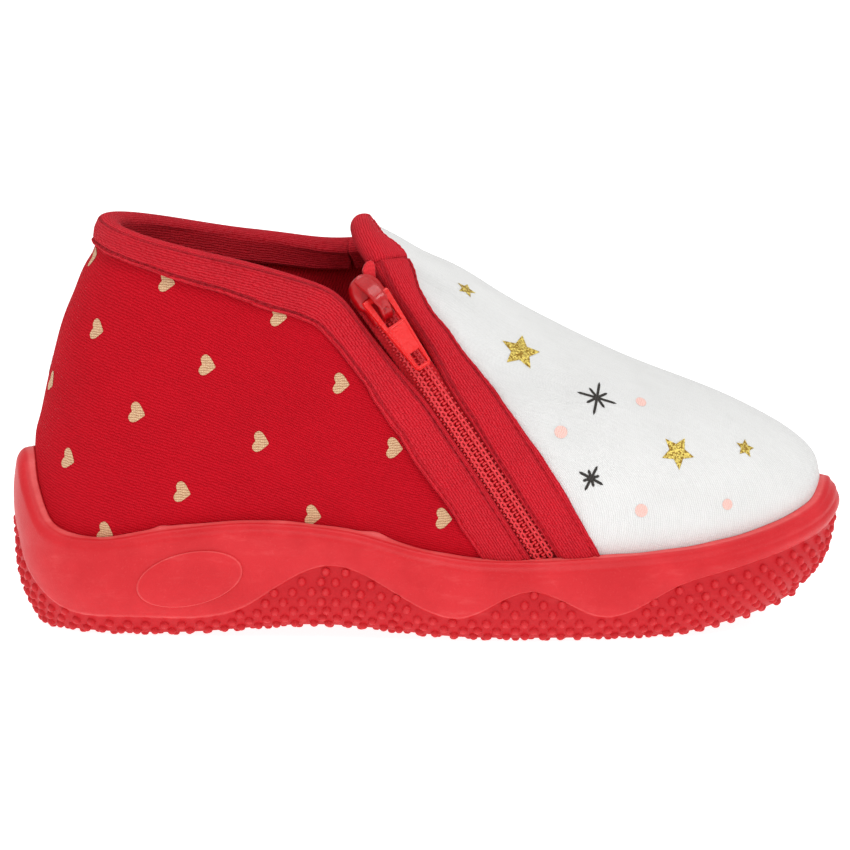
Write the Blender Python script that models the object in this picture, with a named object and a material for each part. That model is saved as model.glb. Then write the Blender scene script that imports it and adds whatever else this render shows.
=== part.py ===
"""A child's zip-up bootie slipper for the right foot, about European size 25.

The toe points along +X, the outer side with the zip faces -Y, and the sole stands on the plane
z = 0. Every size in the tables is in millimetres; meshes are made in metres.

One function, form(), gives the outside of the upper at any angle round the foot and any height.
The upper, the bindings, the zip and the cup of the sole are all cut from it at their own offsets.
"""

import math
from collections import namedtuple

import bmesh
import bpy
from mathutils import Matrix, Vector

MM = 0.001

# Driving sizes
WALL = 2.6  # foam-backed jersey with its lining
GAP = 0.3  # room between two pieces that meet
WIDEST = 0.52  # where the middle of a section lies between its back and its front
BLUNTNESS = 0.8  # 1 gives a pointed egg in front, less gives a fuller toe
HEEL_CAP = 1.12  # length of the round back of a section, in half widths of the heel
CAP_POWER = 2.15  # 2 makes it an ellipse, more makes it squarer
TOE_SWING = 5.0  # the toe leans this far towards the inner side of the foot
SWING_START = 15.0
WAIST = 2.4  # the inner side is hollowed this far beside the arch
WAIST_SPAN = (-52.0, 26.0)
WAIST_TOP = (28.0, 56.0)  # and the hollow fades out between these heights

# Sections of the upper's outside, from inside the cup of the sole up past the collar.
# Ends are along X, and half widths are of the heel part and of the ball or instep part.
Section = namedtuple("Section", "height back front heel ball")
SECTIONS = (
    Section(8, -76.2, 74.6, 20.4, 29.2),
    Section(17, -77.8, 77.0, 21.6, 30.8),
    Section(26, -78.2, 78.0, 22.4, 31.0),
    Section(35, -77.4, 73.8, 23.0, 29.6),
    Section(44, -75.8, 60.6, 23.0, 27.0),
    Section(53, -73.8, 38.9, 22.8, 25.0),
    Section(62, -71.2, 20.8, 22.5, 23.4),
    Section(71, -67.4, 5.2, 22.7, 22.2),
    Section(80, -63.8, -12.2, 22.9, 20.6),
    Section(86, -61.4, -24.0, 22.6, 19.0),
)
NARROWING = (-0.75, 0.45)  # cosines between which the heel width turns into the ball width

# Height of the collar's edge by angle: 0 is the middle of the throat, 180 the back of the heel.
Rim = namedtuple("Rim", "angle outer inner")
RIM = (
    Rim(0, 80.1, 80.1),
    Rim(14, 79.6, 79.6),
    Rim(25, 78.6, 78.6),
    Rim(36, 76.1, 76.4),
    Rim(43, 73.7, 74.8),
    Rim(58, 68.6, 73.4),
    Rim(70, 67.5, 73.0),
    Rim(85, 71.2, 74.0),
    Rim(99, 74.1, 74.9),
    Rim(112, 75.9, 76.1),
    Rim(125, 77.4, 77.4),
    Rim(150, 79.3, 79.3),
    Rim(180, 80.2, 80.2),
)

# Moulded sole: the top edge of its cup, and the wavy line where its smooth band ends.
Edge = namedtuple("Edge", "angle height")
SOLE_TOP = (
    Edge(0, 28.5),
    Edge(16, 24.6),
    Edge(24, 22.7),
    Edge(34, 20.5),
    Edge(48, 18.2),
    Edge(66, 17.0),
    Edge(83, 16.6),
    Edge(92, 18.2),
    Edge(103, 22.0),
    Edge(116, 23.4),
    Edge(131, 21.9),
    Edge(146, 19.6),
    Edge(160, 21.4),
    Edge(168, 28.4),
    Edge(174, 33.4),
    Edge(180, 34.8),
)
WAVE = (
    Edge(0, 21.9),
    Edge(17, 18.6),
    Edge(40, 14.0),
    Edge(51, 11.4),
    Edge(64, 5.4),
    Edge(76, 10.7),
    Edge(88, 5.2),
    Edge(105, 15.3),
    Edge(121, 5.4),
    Edge(138, 4.4),
    Edge(155, 5.2),
    Edge(166, 11.2),
    Edge(180, 22.9),
)
SOLE_WALL = 3.4  # how far the cup's side stands out from the upper
LIP = 1.3  # how far its top edge does
LIP_ROUND = 3.0
STEP = 0.45  # the smooth band stands this proud of the studded zone
STEP_DROP = 0.35
EDGE_INSET = 5.6  # how far the bottom edge curves in
EDGE_POWER = 2.4  # 2 makes that curve even, more makes it tighter near the floor
EDGE_ROUND = 8.0  # height of that curve at the sides
HEEL_ROUND = 9.0  # added to it at the back
TOE_ROUND = 2.5  # added to it at the front
SOLE_FLOOR = 6.5  # thickness under the ball
HEEL_LIFT = 2.0  # added to it under the heel
LIFT_SPAN = (10.0, -40.0)  # and this slope leads up to it
ARCH = (-52.0, 10.0)  # the sole leaves the floor a little between these
ARCH_RISE = 2.0
SPRING_START = 48.0
SPRING_END = 81.0
TOE_SPRING = 8.6
SPRING_POWER = 1.7
SPINE_INSET = 16.0  # ends of the line down the middle of the sole's flat faces

# Oval boss on the outer side of the heel
BOSS_MIDDLE = (-46.6, 12.1)  # along X and up
BOSS_HALF = (10.7, 5.3)
BOSS_TILT = math.radians(13)
BOSS_RAISE = 0.45
BOSS_ROOT = 1.2
BOSS_SIDES = 40
BOSS_RINGS = (  # share of its size, and how far that ring stands out
    (1.0, -BOSS_ROOT),
    (1.0, 0.6 * BOSS_RAISE),
    (0.94, BOSS_RAISE),
    (0.5, BOSS_RAISE),
)

INSOLE = 3.0

# Zip: its middle line bows a little in the side view,
# x = ZIP_FOOT + ZIP_LEAN * height - ZIP_BOW * height ** 2.
ZIP_FOOT = 33.8
ZIP_LEAN = -0.602
ZIP_BOW = 0.0009
ZIP_OPENING = 4.5  # half width of the slit in the upper
ZIP_SPREAD = 0.8  # the slit is this much wider at the collar
SPREAD_START = 30.0
TAPE_END = 13.0
COIL_END = 18.0
TAPE = (-2.0, -1.3)
COIL_HALF = 2.1
COIL = (-1.0, 0.4)
COIL_SHOULDER = 0.45
SLIDER_HEIGHT = 67.5

# Bindings: a strip of jersey folded over each edge
BAND = 0.9
PUFF = 0.15  # each band is this much fuller along its middle
ROLL_START = 0.4  # its fold begins this far in from the edge
FOLD = 0.45  # the fold bulges past the edge by this much more
THROAT_FOLD = 1.4  # and here the binding is a fat roll
COLLAR_BAND = 5.6
FACING_BAND = 4.7
THROAT_BAND = 4.4
INNER_BAND = 5.0
CORNER_ROOM = 4.0  # no station of a binding lies closer than this to the corner it turns
INNER_SEAM = 58.0  # angle of the seam between vamp and quarter on the inner side

# Slider and pull, along the zip, across it and outwards from the upper
SLIDER_HALF = 4.4
SLIDER_TOP_WIDTH = 3.5
SLIDER_FOOT_WIDTH = 3.15
SLIDER_PLATE = (0.85, 1.8)
SLIDER_SKIRT = -0.6
SKIRT_WALL = 0.65
SLIDER_NOSE = 0.9  # its nose is cut back by this much on each side
SLIDER_EDGE = 0.3
BRIDGE_HALF = 1.0
BRIDGE = (-3.0, 3.1)
BRIDGE_EYE = (-1.4, 1.9)
BRIDGE_HEIGHT = 5.0
BRIDGE_CORNER = 1.1
EYE_HEIGHT = 3.85
EYE_CORNER = 0.5
HINGE_ALONG = 0.85
HINGE_OUT = 2.75
BAR_RADIUS = 0.62
BAR_SIDES = 16
PULL_LENGTH = 16.7
PULL_THICK = 1.15
PULL_HALF = (3.0, 1.7)  # half width at the bar and at the tip
PULL_CORNER = 0.6
PULL_WINDOW = (1.75, 6.3)  # half width and far end of the window round the bridge
TIP_WINDOW = (1.15, 12.9, 15.9)  # half width, start and end

# Mesh density
COLUMNS = 80
CROWDING = 6.0  # degrees by which columns crowd towards toe and heel
UPPER_ROWS = 12
SLIT_REACH = 55.0  # columns within this angle of the zip lean with it

# Looks: colour, roughness and how metallic
MOULDED = ((0.78, 0.045, 0.052), 0.45)
PRINTED_JERSEY = ((0.50, 0.008, 0.018), 0.9)
PLAIN_JERSEY = ((0.57, 0.015, 0.027), 0.9)
ZIP_RED = ((0.60, 0.018, 0.028), 0.6)
LACQUER = ((0.84, 0.060, 0.055), 0.3, 0.2)


def clamp(value, low, high):
    return max(low, min(high, value))


def smooth(low, high, value):
    """0 below low, 1 above high, and an S-curve between them."""
    share = clamp((value - low) / (high - low), 0.0, 1.0)
    return share * share * (3 - 2 * share)


def read(table, key, column, at, level_ends=False):
    """A smooth curve through one column of a table, by its key column."""
    keys = [getattr(row, key) for row in table]
    values = [getattr(row, column) for row in table]
    at = clamp(at, keys[0], keys[-1])
    i = next(n for n in range(len(keys) - 1) if at <= keys[n + 1])

    def slope(n):
        if level_ends and n in (0, len(keys) - 1):
            return 0.0
        before, after = max(n - 1, 0), min(n + 1, len(keys) - 1)
        return (values[after] - values[before]) / (keys[after] - keys[before])

    span = keys[i + 1] - keys[i]
    t = (at - keys[i]) / span
    start, end = slope(i) * span, slope(i + 1) * span
    lift = values[i + 1] - values[i]
    return values[i] + t * (start + t * (3 * lift - 2 * start - end + t * (start + end - 2 * lift)))


def wrap(angle):
    """The same angle between -180 and 180."""
    return angle if angle <= 180 else angle - 360


def read_edge(table, angle):
    """Height from a table of edges: both sides of the shoe are alike."""
    return read(table, "angle", "height", abs(angle), True)


def rim(angle):
    """Height of the collar's edge. Positive angles are on the outer side, with the zip."""
    return read(RIM, "angle", "outer" if angle > 0 else "inner", abs(angle), True)


def section(height):
    """(middle, reach forwards, reach backwards, heel half width, ball half width) at a height."""
    back, front, heel, ball = (
        read(SECTIONS, "height", name, height) for name in ("back", "front", "heel", "ball")
    )
    middle = back + WIDEST * (front - back)
    return middle, front - middle, middle - back, heel, ball


def raw_form(angle, height):
    """The upper's outside. Angle is in degrees: 0 at the toe, 90 at the zip side, 180 at the heel."""
    middle, forwards, backwards, heel, ball = section(height)
    turn = math.radians(angle)
    along, across = math.cos(turn), math.sin(turn)
    x = middle + along * (forwards if along > 0 else backwards)
    half = heel + (ball - heel) * smooth(*NARROWING, along)
    if across < 0 and WAIST_SPAN[0] < x < WAIST_SPAN[1]:
        share = (x - WAIST_SPAN[0]) / (WAIST_SPAN[1] - WAIST_SPAN[0])
        half -= WAIST * math.sin(math.pi * share) ** 2 * (1 - smooth(*WAIST_TOP, height))
    if along > 0:
        half *= abs(across) ** BLUNTNESS
    else:
        short = max(0.0, 1 - backwards * (1 + along) / (HEEL_CAP * heel))
        half *= (1 - short**CAP_POWER) ** (1 / CAP_POWER)
    y = -math.copysign(half, across)
    y += TOE_SWING * max(0.0, (x - SWING_START) / (SPRING_END - SWING_START)) ** 2
    return Vector((x, y, height))


def tangents(angle, height):
    """How the form moves per degree of angle and per millimetre of height."""
    d_angle, d_height = 0.5, 0.25
    by_angle = (raw_form(angle + d_angle, height) - raw_form(angle - d_angle, height)) / (2 * d_angle)
    by_height = (raw_form(angle, height + d_height) - raw_form(angle, height - d_height)) / (2 * d_height)
    return by_angle, by_height


def normal(angle, height):
    by_angle, by_height = tangents(angle, height)
    return by_height.cross(by_angle).normalized()


def form(angle, height, offset=0.0):
    """A point of the upper's outside, moved outwards by offset."""
    point = raw_form(angle, height)
    return point + normal(angle, height) * offset


def level(angle, height, offset):
    """As form, but moved level with the floor, as the sides of the sole are."""
    by_angle, _ = tangents(angle, height)
    out = Vector((0, 0, 1)).cross(by_angle).normalized()
    return raw_form(angle, height) + out * offset


def zip_middle(height):
    """Angle of the zip's middle line at a height."""
    middle, forwards, backwards, _, _ = section(height)
    along = ZIP_FOOT + ZIP_LEAN * height - ZIP_BOW * height**2 - middle
    return math.degrees(math.acos(along / (forwards if along > 0 else backwards)))


def zip_angle(height, across=0.0):
    """Angle of a line beside the zip's middle line, towards the heel, or of the middle line."""
    angle = zip_middle(height)
    by_angle, by_height = tangents(angle, height)
    slope = (by_height + by_angle * zip_drift(height)).normalized()
    level_part = by_angle.normalized()
    lean = level_part.cross(slope).length
    return angle + across / (by_angle.length * lean)


def zip_drift(height):
    """Degrees that the zip's middle line turns per millimetre of height."""
    step = 1.0
    return (zip_middle(height + step) - zip_middle(height - step)) / (2 * step)


def slit(height, side):
    """Angle of the slit's edge: side is 1 towards the heel and -1 towards the toe."""
    half = ZIP_OPENING + ZIP_SPREAD * smooth(SPREAD_START, SLIDER_HEIGHT, height)
    return zip_angle(height, side * half)


def sole_bottom(x):
    """Underside of the sole: flat under heel and ball, a low arch, and a toe that springs up."""
    start, end = ARCH
    if start < x < end:
        return ARCH_RISE * math.sin(math.pi * (x - start) / (end - start)) ** 2
    rise = max(0.0, (x - SPRING_START) / (SPRING_END - SPRING_START))
    return TOE_SPRING * rise**SPRING_POWER


def sole_floor(x):
    """Top of the sole inside its cup."""
    spring = sole_bottom(x) if x > ARCH[1] else 0.0
    return spring + SOLE_FLOOR + HEEL_LIFT * (1 - smooth(LIFT_SPAN[1], LIFT_SPAN[0], x))


def floor_under(angle):
    """Height of the cup's floor at the wall, at an angle."""
    return sole_floor(raw_form(angle, SECTIONS[0].height).x)


def sole_side(angle, height, bare=False):
    """A point on the outside of the sole. Bare leaves out the step below the wavy line."""
    top = read_edge(SOLE_TOP, angle)
    base = max(height, SECTIONS[1].height)
    bottom = sole_bottom(level(angle, base, SOLE_WALL).x)
    offset = SOLE_WALL
    below_top = top - height
    if below_top < LIP_ROUND:
        rise = (LIP_ROUND - max(below_top, 0.0)) / LIP_ROUND
        offset -= (SOLE_WALL - LIP) * (1 - math.sqrt(1 - rise * rise))
    along = math.cos(math.radians(angle))
    reach = EDGE_ROUND + HEEL_ROUND * max(0.0, -along) ** 6 + TOE_ROUND * max(0.0, along) ** 6
    low = clamp((reach - (height - bottom)) / reach, 0.0, 1.0)
    offset -= EDGE_INSET * low**EDGE_POWER
    if not bare and height < read_edge(WAVE, angle) - STEP_DROP / 2:
        offset -= STEP
    point = level(angle, base, offset)
    return Vector((point.x, point.y, height))


def new_object(name, mesh_builder, look):
    """One closed piece from a bmesh, with its faces turned outwards and its own material."""
    bm = bmesh.new()
    mesh_builder(bm)
    bmesh.ops.recalc_face_normals(bm, faces=bm.faces[:])
    mesh = bpy.data.meshes.new(name)
    bm.to_mesh(mesh)
    bm.free()
    mesh.shade_smooth()
    mesh.set_sharp_from_angle(angle=math.radians(40))
    mesh.materials.append(material(name, *look))
    piece = bpy.data.objects.new(name, mesh)
    bpy.context.scene.collection.objects.link(piece)
    return piece


def material(name, colour, roughness, metallic=0.0):
    new = bpy.data.materials.new(name)
    new.use_nodes = True
    shader = new.node_tree.nodes["Principled BSDF"]
    shader.inputs["Base Color"].default_value = (*colour, 1.0)
    shader.inputs["Roughness"].default_value = roughness
    shader.inputs["Metallic"].default_value = metallic
    return new


def row(bm, points):
    return [bm.verts.new(point * MM) for point in points]


def join_rows(bm, first, second, closed):
    """A band of four-sided faces between two rows of vertices."""
    count = len(first)
    for i in range(count if closed else count - 1):
        j = (i + 1) % count
        bm.faces.new((first[i], first[j], second[j], second[i]))


def spine(points, height_of):
    """A line down the middle of a ring of points, with one point for each opposite pair."""
    count = len(points)
    xs = [point.x for point in points]
    low, high = min(xs) + SPINE_INSET, max(xs) - SPINE_INSET
    line = []
    for i in range(count // 2 + 1):
        one, other = points[i], points[-i]
        x = (low + high) / 2 + (high - low) / 2 * math.cos(math.pi * 2 * i / count)
        line.append(Vector((x, (one.y + other.y) / 2, height_of(x))))
    return line


def close_ring(bm, ring, points, height_of, shares):
    """Closes a ring with rows that shrink towards its spine."""
    middle = spine(points, height_of)
    count = len(points)
    before = ring
    for share in shares:
        shrunk = []
        for i, point in enumerate(points):
            flat = point.lerp(middle[min(i, count - i)], share)
            shrunk.append(Vector((flat.x, flat.y, height_of(flat.x))))
        after = row(bm, shrunk)
        join_rows(bm, before, after, True)
        before = after
    last = row(bm, middle)
    for i in range(count):
        j = (i + 1) % count
        bm.faces.new((before[i], before[j], last[min(j, count - j)], last[min(i, count - i)]))


def ring_angles():
    """Angles round the whole shoe, outer side first, closer together at toe and heel."""
    angles = []
    for i in range(COLUMNS):
        turn = 360.0 * i / COLUMNS
        turn -= CROWDING * math.sin(math.radians(2 * turn))
        angles.append(wrap(turn))
    return angles


def build_sole(bm):
    angles = ring_angles()
    rings = []
    for share in (1.0, 0.75, 0.5, 0.25, 0.0):  # inside of the cup, from its floor up
        ring = []
        for angle in angles:
            floor, top = floor_under(angle), read_edge(SOLE_TOP, angle)
            ring.append(level(angle, top + share * (floor - top), GAP))
        rings.append(ring)
    for drop in (0.0, 0.5, 1.4, LIP_ROUND):  # rounded lip
        ring = []
        for angle in angles:
            ring.append(sole_side(angle, read_edge(SOLE_TOP, angle) - drop))
        rings.append(ring)
    for share in (0.5, 0.0):  # smooth band
        ring = []
        for angle in angles:
            wave, top = read_edge(WAVE, angle), read_edge(SOLE_TOP, angle) - LIP_ROUND
            ring.append(sole_side(angle, wave + share * (top - wave)))
        rings.append(ring)
    for share in (1.0, 0.62, 0.34, 0.14, 0.0):  # studded zone, rounding under to the floor
        ring = []
        for angle in angles:
            wave = read_edge(WAVE, angle) - STEP_DROP
            bottom = sole_bottom(level(angle, SECTIONS[1].height, SOLE_WALL).x)
            ring.append(sole_side(angle, bottom + share * (wave - bottom)))
        rings.append(ring)
    rows = [row(bm, ring) for ring in rings]
    for first, second in zip(rows, rows[1:]):
        join_rows(bm, first, second, True)
    close_ring(bm, rows[-1], rings[-1], sole_bottom, (0.2, 0.6))
    close_ring(bm, rows[0], rings[0], sole_floor, (0.25, 0.6))


def build_boss(bm):
    """Oval pad that follows the side of the heel, standing out from it and rooted in it."""
    rings = []
    for size, raise_by in BOSS_RINGS:
        ring = []
        for i in range(BOSS_SIDES):
            turn = 2 * math.pi * i / BOSS_SIDES
            along, up = size * BOSS_HALF[0] * math.cos(turn), size * BOSS_HALF[1] * math.sin(turn)
            x = BOSS_MIDDLE[0] + along * math.cos(BOSS_TILT) - up * math.sin(BOSS_TILT)
            z = BOSS_MIDDLE[1] + along * math.sin(BOSS_TILT) + up * math.cos(BOSS_TILT)
            ring.append(side_point(x, z) + Vector((0, -raise_by, 0)))
        rings.append(row(bm, ring))
    for first, second in zip(rings, rings[1:]):
        join_rows(bm, first, second, True)
    for ring in (rings[0], rings[-1]):
        bm.faces.new(ring)


def side_point(x, z):
    """Point on the outer side of the sole at a place in the side view."""
    low, high = 20.0, 170.0
    for _ in range(40):
        angle = (low + high) / 2
        if sole_side(angle, z, bare=True).x > x:
            low = angle
        else:
            high = angle
    return sole_side(angle, z, bare=True)


def upper_columns():
    """For each column of the upper, from the rear edge of the slit round the heel to the front one:
    its angle where no zip bends it, and how far it leans with the slit's rear or front edge."""
    start, end = slit(SECTIONS[2].height, 1), 360 + slit(SECTIONS[2].height, -1)
    turns = [angle % 360 for angle in ring_angles()]
    turns = sorted(angle if angle > start else angle + 360 for angle in turns)
    between = [angle for angle in turns if start + 2 < angle < end - 2]
    columns = []
    for angle in (start, *between, end):
        rear = 1 - smooth(0.0, SLIT_REACH, angle - start)
        front = 1 - smooth(0.0, SLIT_REACH, end - angle)
        columns.append((angle, rear, front))
    return columns


def column_angle(column, height):
    angle, rear, front = column
    middle = SECTIONS[2].height
    angle += rear * (slit(height, 1) - slit(middle, 1)) + front * (slit(height, -1) - slit(middle, -1))
    return wrap(angle)


def column_top(column):
    """Height at which a column meets the collar."""
    height = SECTIONS[-3].height
    for _ in range(12):
        height += 0.7 * (rim(column_angle(column, height)) - height)
    return height


def build_upper(bm):
    columns = upper_columns()
    outside, inside = [], []
    for r in range(UPPER_ROWS + 1):
        out_ring, in_ring = [], []
        for column in columns:
            low = floor_under(column_angle(column, SECTIONS[0].height)) + GAP
            height = low + (column_top(column) - low) * r / UPPER_ROWS
            angle = column_angle(column, height)
            out_ring.append(form(angle, height))
            in_ring.append(form(angle, height, -WALL))
        outside.append(row(bm, out_ring))
        inside.append(row(bm, in_ring))
    for skin in (outside, inside):
        for first, second in zip(skin, skin[1:]):
            join_rows(bm, first, second, False)
    join_rows(bm, outside[0], inside[0], False)
    join_rows(bm, outside[-1], inside[-1], False)
    for end in (0, -1):
        join_rows(bm, [r[end] for r in outside], [r[end] for r in inside], False)


def build_insole(bm):
    rings = []
    for lift in (GAP, GAP + INSOLE):
        ring = []
        for angle in ring_angles()[::2]:
            wall = form(angle, floor_under(angle) + lift, -WALL - 2 * GAP)
            ring.append(Vector((wall.x, wall.y, sole_floor(wall.x) + lift)))
        rings.append(ring)
    low, high = (row(bm, ring) for ring in rings)
    join_rows(bm, low, high, True)
    close_ring(bm, low, rings[0], lambda x: sole_floor(x) + GAP, (0.4,))
    close_ring(bm, high, rings[1], lambda x: sole_floor(x) + GAP + INSOLE, (0.4,))


def across_path(path, i, side):
    """Change of (angle, height) per millimetre square to a path on the form, to one side of it."""
    before, after = path[max(i - 1, 0)], path[min(i + 1, len(path) - 1)]
    angle, height = path[i]
    by_angle, by_height = tangents(angle, height)
    along = by_angle * (after[0] - before[0]) + by_height * (after[1] - before[1])
    out = side * normal(angle, height).cross(along).normalized()
    aa, ah, hh = by_angle.dot(by_angle), by_angle.dot(by_height), by_height.dot(by_height)
    oa, oh = out.dot(by_angle), out.dot(by_height)
    solid = aa * hh - ah * ah
    return (oa * hh - oh * ah) / solid, (oh * aa - oa * ah) / solid


def nudge(place, towards):
    """A place on the form moved a little towards another."""
    share = GAP * 0.6 / (raw_form(*towards) - raw_form(*place)).length
    return [a + (b - a) * share for a, b in zip(place, towards)]


def sweep(bm, path, side, outline, above_sole=True, first=0, last=None):
    """Runs an outline of (across, outwards) points along a path of (angle, height) on the form.
    First and last pick a stretch of the path, which stops short of the piece that goes on from it."""
    rings = []
    last = len(path) - 1 if last is None else last
    for i in range(first, last + 1):
        d_angle, d_height = across_path(path, i, side)
        angle, height = path[i]
        if i == first and first > 0:
            angle, height = nudge(path[i], path[i + 1])
        if i == last < len(path) - 1:
            angle, height = nudge(path[i], path[i - 1])
        ring = []
        for across, outwards in outline:
            at, up = angle + across * d_angle, height + across * d_height
            if above_sole:
                up = max(up, read_edge(SOLE_TOP, wrap(at)) + 2 * GAP)
            ring.append(form(at, up, outwards))
        rings.append(row(bm, ring))
    for first, second in zip(rings, rings[1:]):
        join_rows(bm, first, second, True)
    bm.faces.new(rings[0])
    bm.faces.new(rings[-1])


def folded_band(width, roll=FOLD):
    """Section of a binding folded over the edge of the upper, in millimetres from that edge."""
    out, back = GAP + BAND, -WALL - GAP - BAND
    middle, half = (out + back) / 2, (out - back) / 2
    fold = []
    for turn in (60, 30, 0, -30, -60):
        bulge = (GAP + BAND + roll) * math.cos(math.radians(turn))
        fold.append((ROLL_START - bulge, middle + half * math.sin(math.radians(turn))))
    return [
        (width, GAP),
        (width, out),
        (width / 2, out + PUFF),
        (ROLL_START, out),
        *fold,
        (ROLL_START, back),
        (INNER_BAND, back),
        (INNER_BAND, back + BAND),
        (-GAP, back + BAND),
        (-GAP, GAP),
        (width / 2, GAP + PUFF),
    ]


def slit_path(low, high, side, steps):
    heights = [low + (high - low) * i / steps for i in range(steps + 1)]
    return [(slit(height, side), height) for height in heights]


def meet(side):
    """(angle, height) where an edge of the slit meets the collar."""
    height = SECTIONS[-3].height
    for _ in range(30):
        height += 0.5 * (rim(slit(height, side)) - height)
    return slit(height, side), height


def rim_path(start, end, steps):
    angles = [start + (end - start) * i / steps for i in range(steps + 1)]
    return [(angle, rim(wrap(angle))) for angle in angles]


def build_collar_binding(bm):
    """Up the rear edge of the slit, round its corner and along the collar to the inner seam."""
    angle, height = meet(1)
    bottom = read_edge(SOLE_TOP, slit(SECTIONS[1].height, 1)) + 2 * GAP
    path = slit_path(bottom, height - CORNER_ROOM, 1, 13)
    path.append((angle, height))
    path += rim_path(angle + 2 * CORNER_ROOM, 360 - INNER_SEAM, 42)
    sweep(bm, path, 1, folded_band(COLLAR_BAND))


def front_path():
    """Up the front edge of the slit, round its corner and over the throat to the inner seam. Also
    gives the corner's place in the path: the two bindings of this path meet there."""
    angle, height = meet(-1)
    bottom = read_edge(SOLE_TOP, slit(SECTIONS[1].height, -1)) + 2 * GAP
    path = slit_path(bottom, height - CORNER_ROOM, -1, 14)
    path.append((angle, height))
    corner = len(path) - 1
    path += rim_path(angle - 2 * CORNER_ROOM, 1.0 - INNER_SEAM, 24)
    return path, corner


def build_zip_facing(bm):
    """Strip between the zip and the vamp, folded over the front edge of the slit."""
    path, corner = front_path()
    sweep(bm, path, -1, folded_band(FACING_BAND), last=corner)


def build_throat_binding(bm):
    """Roll over the throat, from the top of the front facing to the inner seam."""
    path, corner = front_path()
    sweep(bm, path, -1, folded_band(THROAT_BAND, THROAT_FOLD), first=corner)


def zip_path(low, high, steps):
    heights = [low + (high - low) * i / steps for i in range(steps + 1)]
    return [(zip_angle(height), height) for height in heights]


def build_zip_tape(bm):
    """Both tapes of the closed zip, between the two folded edges."""
    half = ZIP_OPENING - GAP - BAND - FOLD - GAP
    low, high = TAPE
    outline = [(-half, low), (half, low), (half, high), (-half, high)]
    sweep(bm, zip_path(TAPE_END, SLIDER_HEIGHT + SLIDER_HALF, 14), 1, outline, False)


def build_zip_coil(bm):
    """The closed chain of teeth, as one rounded bar."""
    low, high = COIL
    shoulder = COIL_HALF - COIL_SHOULDER
    outline = [
        (-COIL_HALF, low),
        (COIL_HALF, low),
        (COIL_HALF, high - COIL_SHOULDER),
        (shoulder, high),
        (-shoulder, high),
        (-COIL_HALF, high - COIL_SHOULDER),
    ]
    sweep(bm, zip_path(COIL_END, SLIDER_HEIGHT + SLIDER_HALF / 2, 14), 1, outline, False)


def slider_frame():
    """Axes of the slider: down the zip, across it towards the heel, and outwards."""
    angle = zip_angle(SLIDER_HEIGHT)
    by_angle, by_height = tangents(angle, SLIDER_HEIGHT)
    down = -(by_height + by_angle * zip_drift(SLIDER_HEIGHT)).normalized()
    out = normal(angle, SLIDER_HEIGHT)
    across = out.cross(down).normalized()
    turn = Matrix((down, across, out)).transposed().to_4x4()
    return Matrix.Translation(raw_form(angle, SLIDER_HEIGHT) * MM) @ turn


def prism(bm, outline, place, low, high):
    """A flat outline pushed from low to high: place says where an outline point goes at a level."""
    rings = [row(bm, [Vector(place(*point, at)) for point in outline]) for at in (low, high)]
    join_rows(bm, rings[0], rings[1], True)
    for ring in rings:
        bm.faces.new(ring)


def build_slider_body(bm):
    """Channel over the coil, wider at its nose."""
    plate_low, plate_high = SLIDER_PLATE
    rings = []
    for along, half in (
        (-SLIDER_HALF, SLIDER_TOP_WIDTH - SLIDER_NOSE),
        (-SLIDER_HALF + SLIDER_NOSE, SLIDER_TOP_WIDTH),
        (SLIDER_HALF, SLIDER_FOOT_WIDTH),
    ):
        room = min(half - SKIRT_WALL, COIL_HALF + GAP)
        section_line = (
            (-half, SLIDER_SKIRT),
            (-half, plate_high - SLIDER_EDGE),
            (-half + SLIDER_EDGE, plate_high),
            (half - SLIDER_EDGE, plate_high),
            (half, plate_high - SLIDER_EDGE),
            (half, SLIDER_SKIRT),
            (room, SLIDER_SKIRT),
            (room, plate_low),
            (-room, plate_low),
            (-room, SLIDER_SKIRT),
        )
        rings.append(row(bm, [Vector((along, across, out)) for across, out in section_line]))
    for first, second in zip(rings, rings[1:]):
        join_rows(bm, first, second, True)
    bm.faces.new(rings[0])
    bm.faces.new(rings[-1])


def build_bridge(bm):
    """Arch over the slider that holds the pull's bar."""
    start, end = BRIDGE
    eye_start, eye_end = BRIDGE_EYE
    root = sum(SLIDER_PLATE) / 2
    outline = (
        (start, root),
        (start, BRIDGE_HEIGHT - BRIDGE_CORNER),
        (start + BRIDGE_CORNER, BRIDGE_HEIGHT),
        (end - BRIDGE_CORNER, BRIDGE_HEIGHT),
        (end, BRIDGE_HEIGHT - BRIDGE_CORNER),
        (end, root),
        (eye_end, root),
        (eye_end, EYE_HEIGHT - EYE_CORNER),
        (eye_end - EYE_CORNER, EYE_HEIGHT),
        (eye_start + EYE_CORNER, EYE_HEIGHT),
        (eye_start, EYE_HEIGHT - EYE_CORNER),
        (eye_start, root),
    )
    prism(bm, outline, lambda along, out, across: (along, across, out), -BRIDGE_HALF, BRIDGE_HALF)


def build_pull_plate(bm):
    """Tapered plate from the bar down to its tip, with its origin on the bar."""
    top, tip = PULL_HALF
    outline = (
        (0.0, -top),
        (PULL_LENGTH - PULL_CORNER, -tip),
        (PULL_LENGTH, -tip + PULL_CORNER),
        (PULL_LENGTH, tip - PULL_CORNER),
        (PULL_LENGTH - PULL_CORNER, tip),
        (0.0, top),
    )
    half = PULL_THICK / 2
    prism(bm, outline, lambda along, across, out: (along, across, out), -half, half)


def build_window(bm, half, start, end):
    outline = ((start, -half), (end, -half), (end, half), (start, half))
    prism(bm, outline, lambda along, across, out: (along, across, out), -PULL_THICK, PULL_THICK)


def build_eye(bm):
    """Window that lets the pull swing round the slider's bridge."""
    half, end = PULL_WINDOW
    build_window(bm, half, -2 * BAR_RADIUS, end)


def build_hole(bm):
    """Small window near the pull's tip."""
    build_window(bm, *TIP_WINDOW)


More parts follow.
